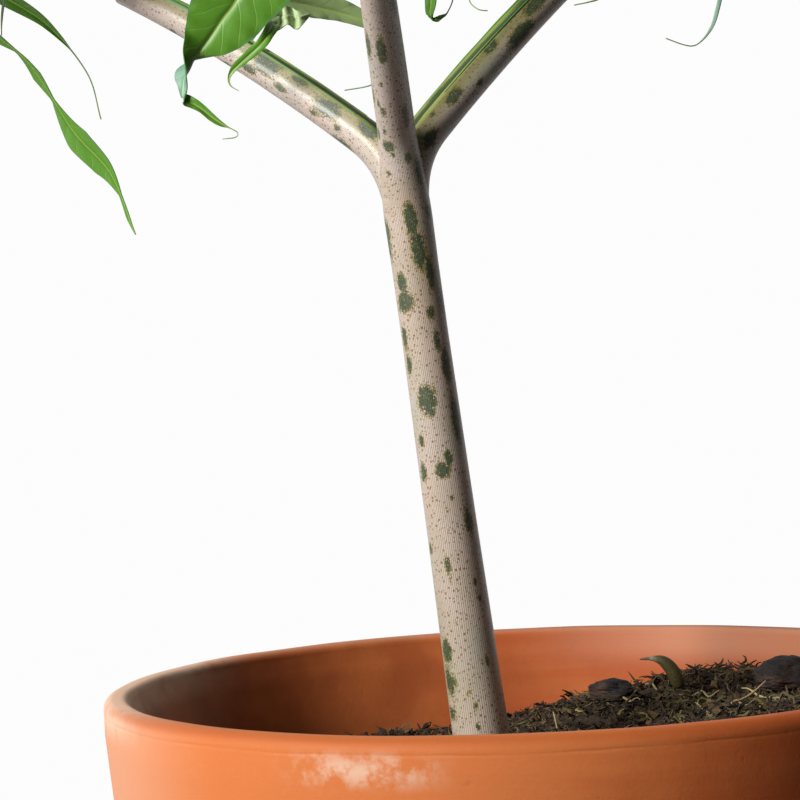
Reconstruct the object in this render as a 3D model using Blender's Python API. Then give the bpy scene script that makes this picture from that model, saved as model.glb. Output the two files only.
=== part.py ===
"""A potted amorphophallus: one tall leaf on a mottled stalk, growing from a tuber in a clay pot.

Metres, +Z up, the front at -Y. The origin is the middle of the pot's foot, on the floor.
"""

import math
import random

import bmesh
import bpy
from mathutils import Matrix, Vector, noise

# Clay pot
RIM_RADIUS = 0.150
POT_HEIGHT = 0.265
RIM_THICKNESS = 0.0095
RIM_UPRIGHT = 0.012
COLLAR_HEIGHT = 0.048
COLLAR_TAPER = math.radians(4.5)
COLLAR_STEP = 0.0060
FOOT_RADIUS = 0.100
WALL_THICKNESS = 0.0090
FLOOR_THICKNESS = 0.012
DRAIN_RADIUS = 0.013
EDGE_ROUND = 0.0035
TURN_STEPS = 48

# Potting mix
SOIL_DEPTH_BELOW_RIM = 0.036
SOIL_RISE = 0.016
SOIL_RINGS = 15
SOIL_RING_POWER = 0.9
WALL_FIT_ROUNDS = 3
SEAT_GAP = 0.0003

# Tuber and leaf stalk
FORK = Vector((-0.0373, 0.0, 0.4451))
STALK_LEAN = math.radians(5.2)
TUBER_TOP = 0.168
TUBER_RADIUS = 0.046
TUBER_HEIGHT = 0.058
TUBER_SEAT_RADIUS = 0.0125
TUBER_SEAT_DEPTH = 0.004
TUBER_LOBE_DEPTH = 0.035
STALK_SIDES = 12
BRANCH_SIDES = 8
# Rings of the stalk and of the hole it stands in, as distances below the fork
STALK_RINGS = (0.235, 0.19, 0.145, 0.10, 0.06, 0.038)
STALK_HOLE_RINGS = (0.245, 0.20, 0.165)
# Distance below the fork, radius of the stalk there
STALK_GIRTH = ((0.280, 0.0104), (0.200, 0.0100), (0.132, 0.0090), (0.061, 0.0083), (0.035, 0.0083),
               (0.012, 0.0086), (0.0, 0.0084))

# Leaf blade
BLADE_THICKNESS = 0.0007
BLADE_STATIONS = (0.0, 0.07, 0.20, 0.37, 0.55, 0.71, 0.85, 1.0)
HANGING_STATIONS = (0.0, 0.08, 0.22, 0.38, 0.53, 0.65, 0.73, 0.80, 0.86, 0.93, 1.0)
DRIP_TIP_START = 0.78
DRIP_TIP_SHARE = 0.13
THREAD_HALF_WIDTH = 0.0006
BEND_SHARE = 0.45
# Steps of a leaflet's run, steps between the points of a route, and the share of the run where the tip starts to
# hook sideways
RUN_STEPS = 80
ROUTE_STEPS = 24
HOOK_START = 0.55
# How far the margins stand above the midrib, and how far they wave, as shares of the half-width
BLADE_FOLD = 0.32
MARGIN_WAVE_SHARE = 0.16
MARGIN_WAVES = 2.2
MARGIN_LAG = 2.4
RANDOM_SEED = 11

TERRACOTTA = (0.72, 0.31, 0.13)
POTTING_MIX = (0.07, 0.05, 0.03)
TUBER_SKIN = (0.30, 0.20, 0.13)
STALK_SKIN = (0.60, 0.48, 0.40)
LEAF_GREEN = (0.13, 0.30, 0.05)
BARK_BROWN = (0.10, 0.05, 0.03)


def clear_scene():
    for obj in list(bpy.data.objects):
        bpy.data.objects.remove(obj)


def material(name, colour, roughness):
    made = bpy.data.materials.new(name)
    made.use_nodes = True
    shader = made.node_tree.nodes["Principled BSDF"]
    shader.inputs["Base Color"].default_value = (*colour, 1.0)
    shader.inputs["Roughness"].default_value = roughness
    made.diffuse_color = (*colour, 1.0)
    return made


def object_from(bm, name, finish=None, smooth_angle=None):
    """The bmesh as an object, its faces pointing out."""
    bmesh.ops.recalc_face_normals(bm, faces=bm.faces)
    mesh = bpy.data.meshes.new(name)
    bm.to_mesh(mesh)
    bm.free()
    if finish:
        mesh.materials.append(finish)
    if smooth_angle is not None:
        mesh.shade_smooth()
        mesh.set_sharp_from_angle(angle=smooth_angle)
    obj = bpy.data.objects.new(name, mesh)
    bpy.context.scene.collection.objects.link(obj)
    return obj


def arc(centre_r, centre_z, radius, start_deg, end_deg, steps):
    """Points (r, z) along an arc of a turned profile."""
    points = []
    for k in range(steps + 1):
        angle = math.radians(start_deg + (end_deg - start_deg) * k / steps)
        points.append((centre_r + radius * math.cos(angle), centre_z + radius * math.sin(angle)))
    return points


def turned(profile, steps, closed=True):
    """A profile of (r, z) points spun once about the Z axis."""
    bm = bmesh.new()
    verts = [bm.verts.new((r, 0.0, z)) for r, z in profile]
    pairs = list(zip(verts, verts[1:] + verts[:1])) if closed else list(zip(verts, verts[1:]))
    edges = [bm.edges.new(pair) for pair in pairs]
    bmesh.ops.spin(bm, geom=verts + edges, cent=(0, 0, 0), axis=(0, 0, 1), angle=math.tau,
                   steps=steps, use_merge=True)
    bmesh.ops.remove_doubles(bm, verts=bm.verts, dist=1e-6)
    return bm


# The pot's collar and body

COLLAR_FOOT = POT_HEIGHT - COLLAR_HEIGHT
COLLAR_FOOT_RADIUS = RIM_RADIUS - (COLLAR_HEIGHT - RIM_UPRIGHT) * math.tan(COLLAR_TAPER)
BODY_TOP_RADIUS = COLLAR_FOOT_RADIUS - COLLAR_STEP
# The inner wall, from the floor to the rim, as (r, z)
INNER_WALL = (
    (FOOT_RADIUS - WALL_THICKNESS - 0.006, FLOOR_THICKNESS),
    (FOOT_RADIUS - WALL_THICKNESS + 0.001, FLOOR_THICKNESS + 0.007),
    (BODY_TOP_RADIUS - WALL_THICKNESS, COLLAR_FOOT),
    (RIM_RADIUS - RIM_THICKNESS, POT_HEIGHT - EDGE_ROUND),
)


def inner_radius(z):
    """Radius of the pot's inner wall at a height."""
    for (r_low, z_low), (r_high, z_high) in zip(INNER_WALL, INNER_WALL[1:]):
        if z <= z_high:
            return r_low + (r_high - r_low) * (z - z_low) / (z_high - z_low)
    return INNER_WALL[-1][0]


def build_pot():
    rim_outer = RIM_RADIUS - EDGE_ROUND
    rim_inner = RIM_RADIUS - RIM_THICKNESS + EDGE_ROUND
    rim_z = POT_HEIGHT - EDGE_ROUND
    profile = arc(rim_outer, rim_z, EDGE_ROUND, 90, 0, 3)
    profile.append((RIM_RADIUS, POT_HEIGHT - RIM_UPRIGHT))
    profile += arc(COLLAR_FOOT_RADIUS - 0.003, COLLAR_FOOT + 0.003, 0.003, 0, -90, 2)
    profile.append((BODY_TOP_RADIUS, COLLAR_FOOT))
    profile.append((FOOT_RADIUS, 0.003))
    profile.append((FOOT_RADIUS - 0.003, 0.0))
    profile.append((DRAIN_RADIUS, 0.0))
    profile.append((DRAIN_RADIUS, FLOOR_THICKNESS))
    profile += list(INNER_WALL[:-1])
    profile += arc(rim_inner, rim_z, EDGE_ROUND, 180, 90, 3)
    return object_from(turned(profile, TURN_STEPS), "pot", material("terracotta", TERRACOTTA, 0.8),
                       math.radians(30))


# The potting mix and the pieces of bark lying on it

# Position on the soil, length, width, height, turn in degrees
BARK_CHIPS = {
    "bark_chip_large": (0.098, 0.052, 0.027, 0.021, 0.017, 20),
    "bark_chip_dark": (0.035, 0.082, 0.020, 0.015, 0.012, -35),
    "bark_chip_by_stalk": (-0.001, 0.022, 0.014, 0.011, 0.008, 60),
    "bark_chip_front": (0.052, -0.058, 0.024, 0.014, 0.009, 10),
    "bark_chip_left": (-0.078, 0.034, 0.022, 0.013, 0.009, 75),
}
# Width of the level soil around a piece of bark, and of the slope beyond it
BARK_PAD = 0.007
BARK_PAD_SLOPE = 0.010
BARK_ROUGHNESS = 0.22
# Where a piece's flat underside cuts it, as a share of its height below the middle
BARK_FLAT = 0.26
# Centre, radius and height of the heaps in the mix
SOIL_HEAPS = (
    (0.072, 0.088, 0.034, 0.0065),
    (0.100, -0.010, 0.040, 0.0040),
    (-0.060, -0.070, 0.045, 0.0040),
    (0.020, 0.100, 0.030, 0.0030),
    (-0.095, 0.060, 0.030, 0.0045),
)
SOIL_BUMP_HEIGHT = 0.0016
SOIL_BUMP_LENGTH = 0.016


def smooth_step(x):
    x = min(1.0, max(0.0, x))
    return x * x * (3 - 2 * x)


def open_soil(x, y):
    """Height of the potting mix where nothing lies on it: it slopes up to the right."""
    z = POT_HEIGHT - SOIL_DEPTH_BELOW_RIM + SOIL_RISE * smooth_step((x + 0.03) / 0.12)
    for heap_x, heap_y, radius, height in SOIL_HEAPS:
        z += height * math.exp(-((x - heap_x) ** 2 + (y - heap_y) ** 2) / radius ** 2)
    return z + SOIL_BUMP_HEIGHT * noise.noise(Vector((x, y, 0.0)) / SOIL_BUMP_LENGTH)


def soil_height(x, y):
    """Height of the potting mix, flat under each piece of bark."""
    z = open_soil(x, y)
    for chip_x, chip_y, length, _, _, _ in BARK_CHIPS.values():
        away = math.hypot(x - chip_x, y - chip_y) - 0.5 * length
        z += (open_soil(chip_x, chip_y) - z) * (1 - smooth_step((away - BARK_PAD) / BARK_PAD_SLOPE))
    return z


def stalk_point(below):
    """The point on the stalk's axis this far below the fork."""
    return FORK + Vector((math.sin(STALK_LEAN), 0.0, -math.cos(STALK_LEAN))) * below


TUBER_BELOW_FORK = (FORK.z - TUBER_TOP) / math.cos(STALK_LEAN)
TUBER_SEAT = stalk_point(TUBER_BELOW_FORK)


def tuber_shape(name, grow, finish=None):
    """A flattened round tuber, dished at the top around a flat seat for the stalk."""
    bm = bmesh.new()
    bmesh.ops.create_uvsphere(bm, u_segments=20, v_segments=12, radius=1.0)
    for vert in bm.verts:
        flat = math.hypot(vert.co.x, vert.co.y)
        dish = 0.16 * math.exp(-(flat / 0.34) ** 2) if vert.co.z > 0 else 0.0
        lobes = 1 + TUBER_LOBE_DEPTH * math.sin(3 * math.atan2(vert.co.y, vert.co.x) + 0.6)
        vert.co.x *= TUBER_RADIUS * lobes + grow
        vert.co.y *= TUBER_RADIUS * lobes + grow
        vert.co.z = (vert.co.z - dish) * (0.5 * TUBER_HEIGHT) + math.copysign(grow, vert.co.z)
    top = max(v.co.z for v in bm.verts if math.hypot(v.co.x, v.co.y) < TUBER_SEAT_RADIUS)
    for vert in bm.verts:
        if math.hypot(vert.co.x, vert.co.y) < 1.25 * TUBER_SEAT_RADIUS and vert.co.z > 0:
            vert.co.z = top
    bm.transform(Matrix.Translation((0.0, 0.0, grow - top)))
    bm.transform(Matrix.Translation(TUBER_SEAT) @ Matrix.Rotation(-STALK_LEAN, 4, "Y"))
    return object_from(bm, name, finish, math.radians(50))


def build_tuber():
    return tuber_shape("tuber", 0.0, material("tuber_skin", TUBER_SKIN, 0.85))


def as_cutter(obj):
    obj.hide_render = True
    obj.display_type = "WIRE"
    return obj


def build_soil():
    """The potting mix: the pot's inside, up to a heaped top, with a hole for the stalk and the tuber."""
    edge = inner_radius(POT_HEIGHT - SOIL_DEPTH_BELOW_RIM)
    flat_top = POT_HEIGHT
    bottom = FLOOR_THICKNESS + SEAT_GAP
    profile = [(edge * (k / SOIL_RINGS) ** SOIL_RING_POWER, flat_top) for k in range(SOIL_RINGS + 1)]
    profile += [(r - SEAT_GAP, z + SEAT_GAP) for r, z in reversed(INNER_WALL[:2])]
    profile.append((0.0, bottom))
    bm = turned(profile, TURN_STEPS, closed=False)
    for vert in bm.verts:
        if vert.co.z < 0.99 * flat_top:
            continue
        if vert.co.xy.length > 0.99 * edge:
            for _ in range(WALL_FIT_ROUNDS):
                out = inner_radius(soil_height(vert.co.x, vert.co.y)) - SEAT_GAP
                vert.co.xy = vert.co.xy.normalized() * out
        vert.co.z = soil_height(vert.co.x, vert.co.y)
    bmesh.ops.triangulate(bm, faces=bm.faces)
    soil = object_from(bm, "soil", material("potting_mix", POTTING_MIX, 0.95), math.radians(40))
    tuber_room = as_cutter(tuber_shape("tuber_room", SEAT_GAP))
    rings = (TUBER_BELOW_FORK + TUBER_SEAT_DEPTH,) + STALK_HOLE_RINGS
    radii = [stalk_radius(below) + SEAT_GAP for below in rings]
    bm = bmesh.new()
    add_tube(bm, [stalk_point(below) for below in rings], radii, STALK_SIDES, 0.0)
    stalk_hole = as_cutter(object_from(bm, "stalk_hole"))
    for cutter in (tuber_room, stalk_hole):
        cut = soil.modifiers.new(cutter.name, "BOOLEAN")
        cut.operation = "DIFFERENCE"
        cut.object = cutter
    return soil


def build_bark():
    finish = material("bark", BARK_BROWN, 0.85)
    for name, (x, y, length, width, height, turn) in BARK_CHIPS.items():
        bm = bmesh.new()
        bmesh.ops.create_icosphere(bm, subdivisions=2, radius=0.5)
        for vert in bm.verts:
            rough = 1 + BARK_ROUGHNESS * noise.noise(vert.co * 3.1 + Vector((x, y, 0)) * 100)
            vert.co = Vector((vert.co.x * length, vert.co.y * width, vert.co.z * height)) * rough
        bmesh.ops.bisect_plane(bm, geom=bm.verts[:] + bm.edges[:] + bm.faces[:], plane_no=(0, 0, -1),
                               plane_co=(0, 0, -BARK_FLAT * height), clear_outer=True)
        bmesh.ops.holes_fill(bm, edges=[e for e in bm.edges if e.is_boundary])
        low = min(v.co.z for v in bm.verts)
        bm.transform(Matrix.Translation((x, y, soil_height(x, y) + SEAT_GAP - low))
                     @ Matrix.Rotation(math.radians(turn), 4, "Z"))
        object_from(bm, name, finish, math.radians(35))


# Stems: round tubes whose upper side is grooved

def interpolate(table, at):
    """The value at a place in a table of (place, value), in any order."""
    rows = sorted(table)
    if at <= rows[0][0]:
        return rows[0][1]
    for (low, first), (high, second) in zip(rows, rows[1:]):
        if at <= high:
            return first + (second - first) * (at - low) / (high - low)
    return rows[-1][1]


def stalk_radius(below):
    return interpolate(STALK_GIRTH, below)


def directions(path):
    """Unit tangents at the points of a path."""
    ends = [path[0]] + list(path) + [path[-1]]
    return [(ends[k + 2] - ends[k]).normalized() for k in range(len(path))]


def ring_share(angle, groove):
    """Radius of a stem's section as a share of its girth: a groove with raised lips on the upper side."""
    angle = abs(math.remainder(angle, math.tau))
    dip = 0.34 * math.exp(-(angle / 0.30) ** 2)
    lip = 0.10 * math.exp(-((angle - 0.62) / 0.25) ** 2)
    return 1 + groove * (lip - dip)


def add_tube(bm, path, radii, sides, azimuth, grooves=None):
    """A closed tube along a path. Its groove looks up and back from the heading, given in radians."""
    grooves = grooves or [0.0] * len(path)
    rings = []
    for point, along, radius, groove in zip(path, directions(path), radii, grooves):
        side = Vector((-math.sin(azimuth), math.cos(azimuth), 0.0))
        side = (side - side.dot(along) * along).normalized()
        up = along.cross(side)
        ring = []
        for k in range(sides):
            angle = math.tau * k / sides
            out = up * math.cos(angle) + side * math.sin(angle)
            ring.append(bm.verts.new(point + out * radius * ring_share(angle, groove)))
        rings.append(ring)
    for first, second in zip(rings, rings[1:]):
        for k in range(sides):
            after = (k + 1) % sides
            bm.faces.new((first[k], first[after], second[after]))
            bm.faces.new((first[k], second[after], second[k]))
    bm.faces.new(list(reversed(rings[0])))
    bm.faces.new(rings[-1])


class Stem:
    """A stem that sets out from a point on a heading and an elevation, and flattens as it goes.

    Angles are in degrees and the rates, flatten and swing, in degrees per metre.
    """

    def __init__(self, start, azimuth, elevation, length, flatten, swing, girth):
        self.azimuth, self.elevation = azimuth, elevation
        self.length, self.flatten, self.swing = length, flatten, swing
        self.girth = girth
        self.steps = 60
        self.points = [start.copy()]
        for k in range(self.steps):
            middle = (k + 0.5) / self.steps * length
            self.points.append(self.points[-1] + self.heading(middle) * (length / self.steps))

    def azimuth_at(self, distance):
        return math.radians(self.azimuth + self.swing * distance)

    def elevation_at(self, distance):
        return math.radians(self.elevation - self.flatten * distance)

    def heading(self, distance):
        around, up = self.azimuth_at(distance), self.elevation_at(distance)
        return Vector((math.cos(up) * math.cos(around), math.cos(up) * math.sin(around), math.sin(up)))

    def at(self, distance):
        place = min(max(distance / self.length, 0.0), 1.0) * self.steps
        k = min(int(place), self.steps - 1)
        return self.points[k].lerp(self.points[k + 1], place - k)

    def radius(self, distance):
        return interpolate(self.girth, distance)

    def piece(self, start, end, rings):
        """Path and radii of the stretch between two distances."""
        places = [start + (end - start) * k / (rings - 1) for k in range(rings)]
        return [self.at(d) for d in places], [self.radius(d) for d in places]


# The three arms of the leaf, as they leave the fork, with the length that bears no leaflets
ARM_GIRTH = ((0.0, 0.0068), (0.05, 0.0063), (0.145, 0.0050))
ARMS = {
    "front": dict(azimuth=-95.5, elevation=46.0, flatten=80.0, length=0.140, bare=0.082),
    "left": dict(azimuth=150.0, elevation=39.0, flatten=80.0, length=0.140, bare=0.070),
    "right": dict(azimuth=28.0, elevation=47.0, flatten=70.0, length=0.165, bare=0.092),
}
# How far below and above the fork an arm's bend reaches, its rings, and how much slimmer a side arm starts
BEND_REACH = 0.019
BEND_GROOVES = (0.0, 0.0, 0.0, 0.25, 0.6, 0.9)
SIDE_ARM_SHARE = 0.93
BARE_ARM_RINGS = 4


def arm_stem(name):
    arm = ARMS[name]
    return Stem(FORK, arm["azimuth"], arm["elevation"], arm["length"], arm["flatten"], 0.0, ARM_GIRTH)


def bend(stem, rings):
    """The curve by which an arm leaves the stalk: from below the fork to a little way along the arm."""
    low, high = stalk_point(BEND_REACH), stem.at(BEND_REACH)
    shares = [k / (rings - 1) for k in range(rings)]
    return [low * (1 - t) ** 2 + FORK * 2 * t * (1 - t) + high * t ** 2 for t in shares]


def build_leaf_stalk():
    """The stalk with its three bare arms: one tube up into the front arm, and one for each side arm."""
    finish = material("stalk_skin", STALK_SKIN, 0.45)
    tubes = bpy.data.collections.new("stalk_tubes")
    pieces = []
    for name in ARMS:
        stem = arm_stem(name)
        azimuth = math.radians(stem.azimuth)
        steps = len(BEND_GROOVES)
        start = stalk_radius(BEND_REACH) * (1.0 if name == "front" else SIDE_ARM_SHARE)
        narrowing = stem.radius(BEND_REACH) - start
        straight, straight_radii = stem.piece(BEND_REACH * 1.6, ARMS[name]["bare"] - SEAT_GAP, BARE_ARM_RINGS)
        path = bend(stem, steps) + straight
        radii = [start + narrowing * smooth_step(k / (steps - 1)) for k in range(steps)] + straight_radii
        grooves = list(BEND_GROOVES) + [1.0] * BARE_ARM_RINGS
        if name == "front":
            rings = (TUBER_BELOW_FORK - SEAT_GAP,) + STALK_RINGS
            path = [stalk_point(below) for below in rings] + path
            radii = [stalk_radius(below) for below in rings] + radii
            grooves = [0.0] * len(rings) + grooves
        bm = bmesh.new()
        add_tube(bm, path, radii, STALK_SIDES, azimuth, grooves)
        pieces.append(object_from(bm, "tube_" + name))
    stalk = pieces[0]
    stalk.name = stalk.data.name = "leaf_stalk"
    stalk.data.materials.append(finish)
    for other in pieces[1:]:
        move_to(other, tubes)
    return join_with(stalk, tubes)


def move_to(obj, collection):
    for holder in list(obj.users_collection):
        holder.objects.unlink(obj)
    collection.objects.link(obj)


def join_with(obj, collection):
    """One Boolean union of an object with all of a collection, applied. The collection's objects then go."""
    bpy.context.scene.collection.children.link(collection)
    union = obj.modifiers.new("join", "BOOLEAN")
    union.operation = "UNION"
    union.operand_type = "COLLECTION"
    union.collection = collection
    bpy.context.view_layer.update()
    joined = bpy.data.meshes.new_from_object(obj.evaluated_get(bpy.context.evaluated_depsgraph_get()))
    drop_crumbs(joined)
    obj.modifiers.clear()
    joined.name = obj.name
    obj.data = joined
    for other in list(collection.objects):
        bpy.data.objects.remove(other)
    bpy.data.collections.remove(collection)
    obj.data.shade_smooth()
    obj.data.set_sharp_from_angle(angle=math.radians(40))
    return obj


def drop_crumbs(mesh):
    """Keeps the largest connected surface of a mesh: a union can leave specks where thin blades meet."""
    bm = bmesh.new()
    bm.from_mesh(mesh)
    unseen = set(bm.verts)
    islands = []
    while unseen:
        reached = [unseen.pop()]
        for vert in reached:
            for edge in vert.link_edges:
                other = edge.other_vert(vert)
                if other in unseen:
                    unseen.remove(other)
                    reached.append(other)
        islands.append(reached)
    islands.sort(key=len)
    bmesh.ops.delete(bm, geom=[vert for island in islands[:-1] for vert in island], context="VERTS")
    bm.to_mesh(mesh)
    bm.free()


# Leaflets

def blade_share(s):
    """Half-width of a leaflet at a share of its length: a lance-shaped blade drawn out into a drip tip."""
    u = min(s / DRIP_TIP_START, 1.0)
    blade = 2.30 * u ** 0.85 * (1 - u) ** 1.05
    base = 0.10 if s < 0.1 else 0.0
    return max(blade, base) + DRIP_TIP_SHARE * min(s * 2, 1) * (1 - s) ** 0.7


class Leaflet:
    """A leaflet's run: its midrib, and the direction of its blade along it."""

    def __init__(self, stations, points, sides, half_width, phase):
        self.stations, self.points, self.sides = stations, points, sides
        self.half_width, self.phase = half_width, phase


def drooping_leaflet(root, azimuth, elevation, length, half_width, droop, hook, roll, phase, stations):
    """A leaflet that arches over under its weight and hooks sideways at its tip. Angles are in degrees."""
    points, sides, place = [], [], root.copy()
    wanted = list(stations)
    for k in range(RUN_STEPS + 1):
        s = k / RUN_STEPS
        around = math.radians(azimuth + hook * (max(0.0, s - HOOK_START) / (1 - HOOK_START)) ** 2)
        up = math.radians(elevation - droop * s ** 1.25)
        ahead = Vector((math.cos(up) * math.cos(around), math.cos(up) * math.sin(around), math.sin(up)))
        if wanted and s >= wanted[0] - 0.5 / RUN_STEPS:
            wanted.pop(0)
            flat = Vector((-math.sin(around), math.cos(around), 0.0))
            turn = Matrix.Rotation(math.radians(roll * min(1.0, 3 * s)), 3, ahead)
            points.append(place.copy())
            sides.append(turn @ flat)
        place += ahead * (length / RUN_STEPS)
    return Leaflet(stations, points, sides, half_width, phase)


def routed_leaflet(route, turns, half_width, phase, stations):
    """A leaflet along a route of points. Its blade starts level and rolls by the angles, in degrees."""
    curve = smooth_route([Vector(point) for point in route])
    lengths, flats = [0.0], []
    ahead = (curve[1] - curve[0]).normalized()
    flat = Vector((-ahead.y, ahead.x, 0.0))
    for a, b in zip(curve, curve[1:]):
        lengths.append(lengths[-1] + (b - a).length)
        ahead = (b - a).normalized()
        flat = (flat - flat.dot(ahead) * ahead).normalized()
        flats.append(flat)
    points, sides = [], []
    for s in stations:
        place = s * lengths[-1]
        k = next((i for i in range(1, len(lengths)) if lengths[i] >= place - 1e-9), len(lengths) - 1)
        share = (place - lengths[k - 1]) / (lengths[k] - lengths[k - 1])
        points.append(curve[k - 1].lerp(curve[k], share))
        ahead = (curve[k] - curve[k - 1]).normalized()
        roll = even_interpolate(turns, (k - 1 + share) / (len(curve) - 1))
        sides.append(Matrix.Rotation(math.radians(roll), 3, ahead) @ flats[k - 1])
    return Leaflet(stations, points, sides, half_width, phase)


def even_interpolate(values, share):
    """The value at a share of a row of evenly spaced values."""
    place = min(max(share, 0.0), 1.0) * (len(values) - 1)
    low = min(int(place), len(values) - 2)
    return values[low] + (values[low + 1] - values[low]) * (place - low)


def smooth_route(points):
    """A Catmull-Rom curve through the points."""
    ends = [2 * points[0] - points[1]] + points + [2 * points[-1] - points[-2]]
    curve = []
    for a, b, c, d in zip(ends, ends[1:], ends[2:], ends[3:]):
        for k in range(ROUTE_STEPS):
            t = k / ROUTE_STEPS
            curve.append(0.5 * (2 * b + (c - a) * t + (2 * a - 5 * b + 4 * c - d) * t ** 2
                                + (3 * b - a - 3 * c + d) * t ** 3))
    curve.append(points[-1].copy())
    return curve


def add_leaflet(bm, leaflet):
    """The leaflet's blade: folded along its midrib and waved along its margins."""
    widths, lifts, other_lifts = [], [], []
    room = curve_room(leaflet.points, leaflet.sides)
    for s, most in zip(leaflet.stations, room):
        half = max(min(leaflet.half_width * blade_share(s), most), THREAD_HALF_WIDTH)
        turn = math.tau * MARGIN_WAVES * s + leaflet.phase
        widths.append(half)
        lifts.append(half * (BLADE_FOLD + MARGIN_WAVE_SHARE * math.sin(turn)))
        other_lifts.append(half * (BLADE_FOLD + MARGIN_WAVE_SHARE * math.sin(turn + MARGIN_LAG)))
    add_strip(bm, leaflet.points, leaflet.sides, widths, lifts, other_lifts)


def curve_room(points, sides):
    """The widest half-width at each point that does not overlap on the inside of a sideways bend."""
    room = [1.0]
    for before, point, after, side in zip(points, points[1:], points[2:], sides[1:]):
        first, second = point - before, after - point
        bend = abs((second.normalized() - first.normalized()).dot(side))
        room.append(BEND_SHARE * min(first.length, second.length) / max(bend, 1e-6))
    return room + [1.0]


def add_strip(bm, points, sides, widths, lifts, other_lifts):
    """A strip of even thickness with a raised margin on each side, triangulated alike on both faces."""
    rows = []
    stations = zip(points, directions(points), sides, widths, lifts, other_lifts)
    for point, along, side, half, lift, other in stations:
        side = (side - side.dot(along) * along).normalized()
        normal = along.cross(side)
        across = (point + side * half + normal * lift, point, point - side * half + normal * other)
        rows.append([[bm.verts.new(p + normal * (BLADE_THICKNESS * up)) for p in across] for up in (0.5, -0.5)])
    for (top_a, low_a), (top_b, low_b) in zip(rows, rows[1:]):
        for k in (0, 1):
            bm.faces.new((top_a[k], top_a[k + 1], top_b[k]))
            bm.faces.new((top_a[k + 1], top_b[k + 1], top_b[k]))
            bm.faces.new((low_a[k + 1], low_a[k], low_b[k]))
            bm.faces.new((low_b[k + 1], low_a[k + 1], low_b[k]))
        for k, flip in ((0, False), (2, True)):
            corners = [top_a[k], top_b[k], low_b[k], low_a[k]]
            corners = corners[::-1] if flip else corners
            bm.faces.new(corners[:3])
            bm.faces.new((corners[0], corners[2], corners[3]))
    for (top, low), flip in ((rows[0], True), (rows[-1], False)):
        for k in (0, 1):
            corners = [top[k], top[k + 1], low[k + 1], low[k]]
            bm.faces.new(corners[::-1] if flip else corners)


# Each arm forks into two branches, which start a little before its end and turn back towards its heading by a
# share of their spread
BRANCH_LENGTH = 0.190
BRANCH_GIRTH = ((0.0, 0.0044), (0.08, 0.0032), (0.200, 0.0016))
BRANCH_START = 0.012
BRANCH_RETURN = 0.3
BRANCH_RINGS = 7
BRANCH_GROOVE = 0.5
ARM_END_RINGS = 5
# Spread to the side of the arm and lift above it in degrees, flattening in degrees per metre, size as a share
# of the usual, and how far its leaflets droop as a share of the usual
BRANCHES = {
    "front": ((-33.0, 0.0, 95.0, 0.87, 1.0), (33.0, 0.0, 90.0, 0.87, 1.0)),
    "left": ((33.0, 0.0, 90.0, 0.83, 0.85), (-36.0, 12.0, 95.0, 1.06, 0.66)),
    "right": ((-33.0, 0.0, 105.0, 1.10, 1.0), (38.0, 0.0, 110.0, 1.14, 0.90)),
}
# Place along the branch, side of it (1 is to its left), spread in degrees, length, half-width
BRANCH_LEAFLETS = (
    (0.030, 1, 64, 0.100, 0.0165),
    (0.046, -1, 62, 0.110, 0.0185),
    (0.074, 1, 58, 0.126, 0.0200),
    (0.096, -1, 55, 0.130, 0.0205),
    (0.124, 1, 50, 0.132, 0.0200),
    (0.144, -1, 47, 0.126, 0.0195),
    (0.168, 1, 42, 0.116, 0.0180),
    (0.182, -1, 36, 0.108, 0.0170),
)
TIP_LEAFLET = (0.187, 0.128, 0.0190)
# The wing of leaf along each branch: half-width at its start and end, and how far it is raised
WING_HALF_WIDTHS = ((0.0, 0.0030), (0.09, 0.0052), (0.200, 0.0075))
WING_LIFT = 0.0011
WING_START = 0.06

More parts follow.
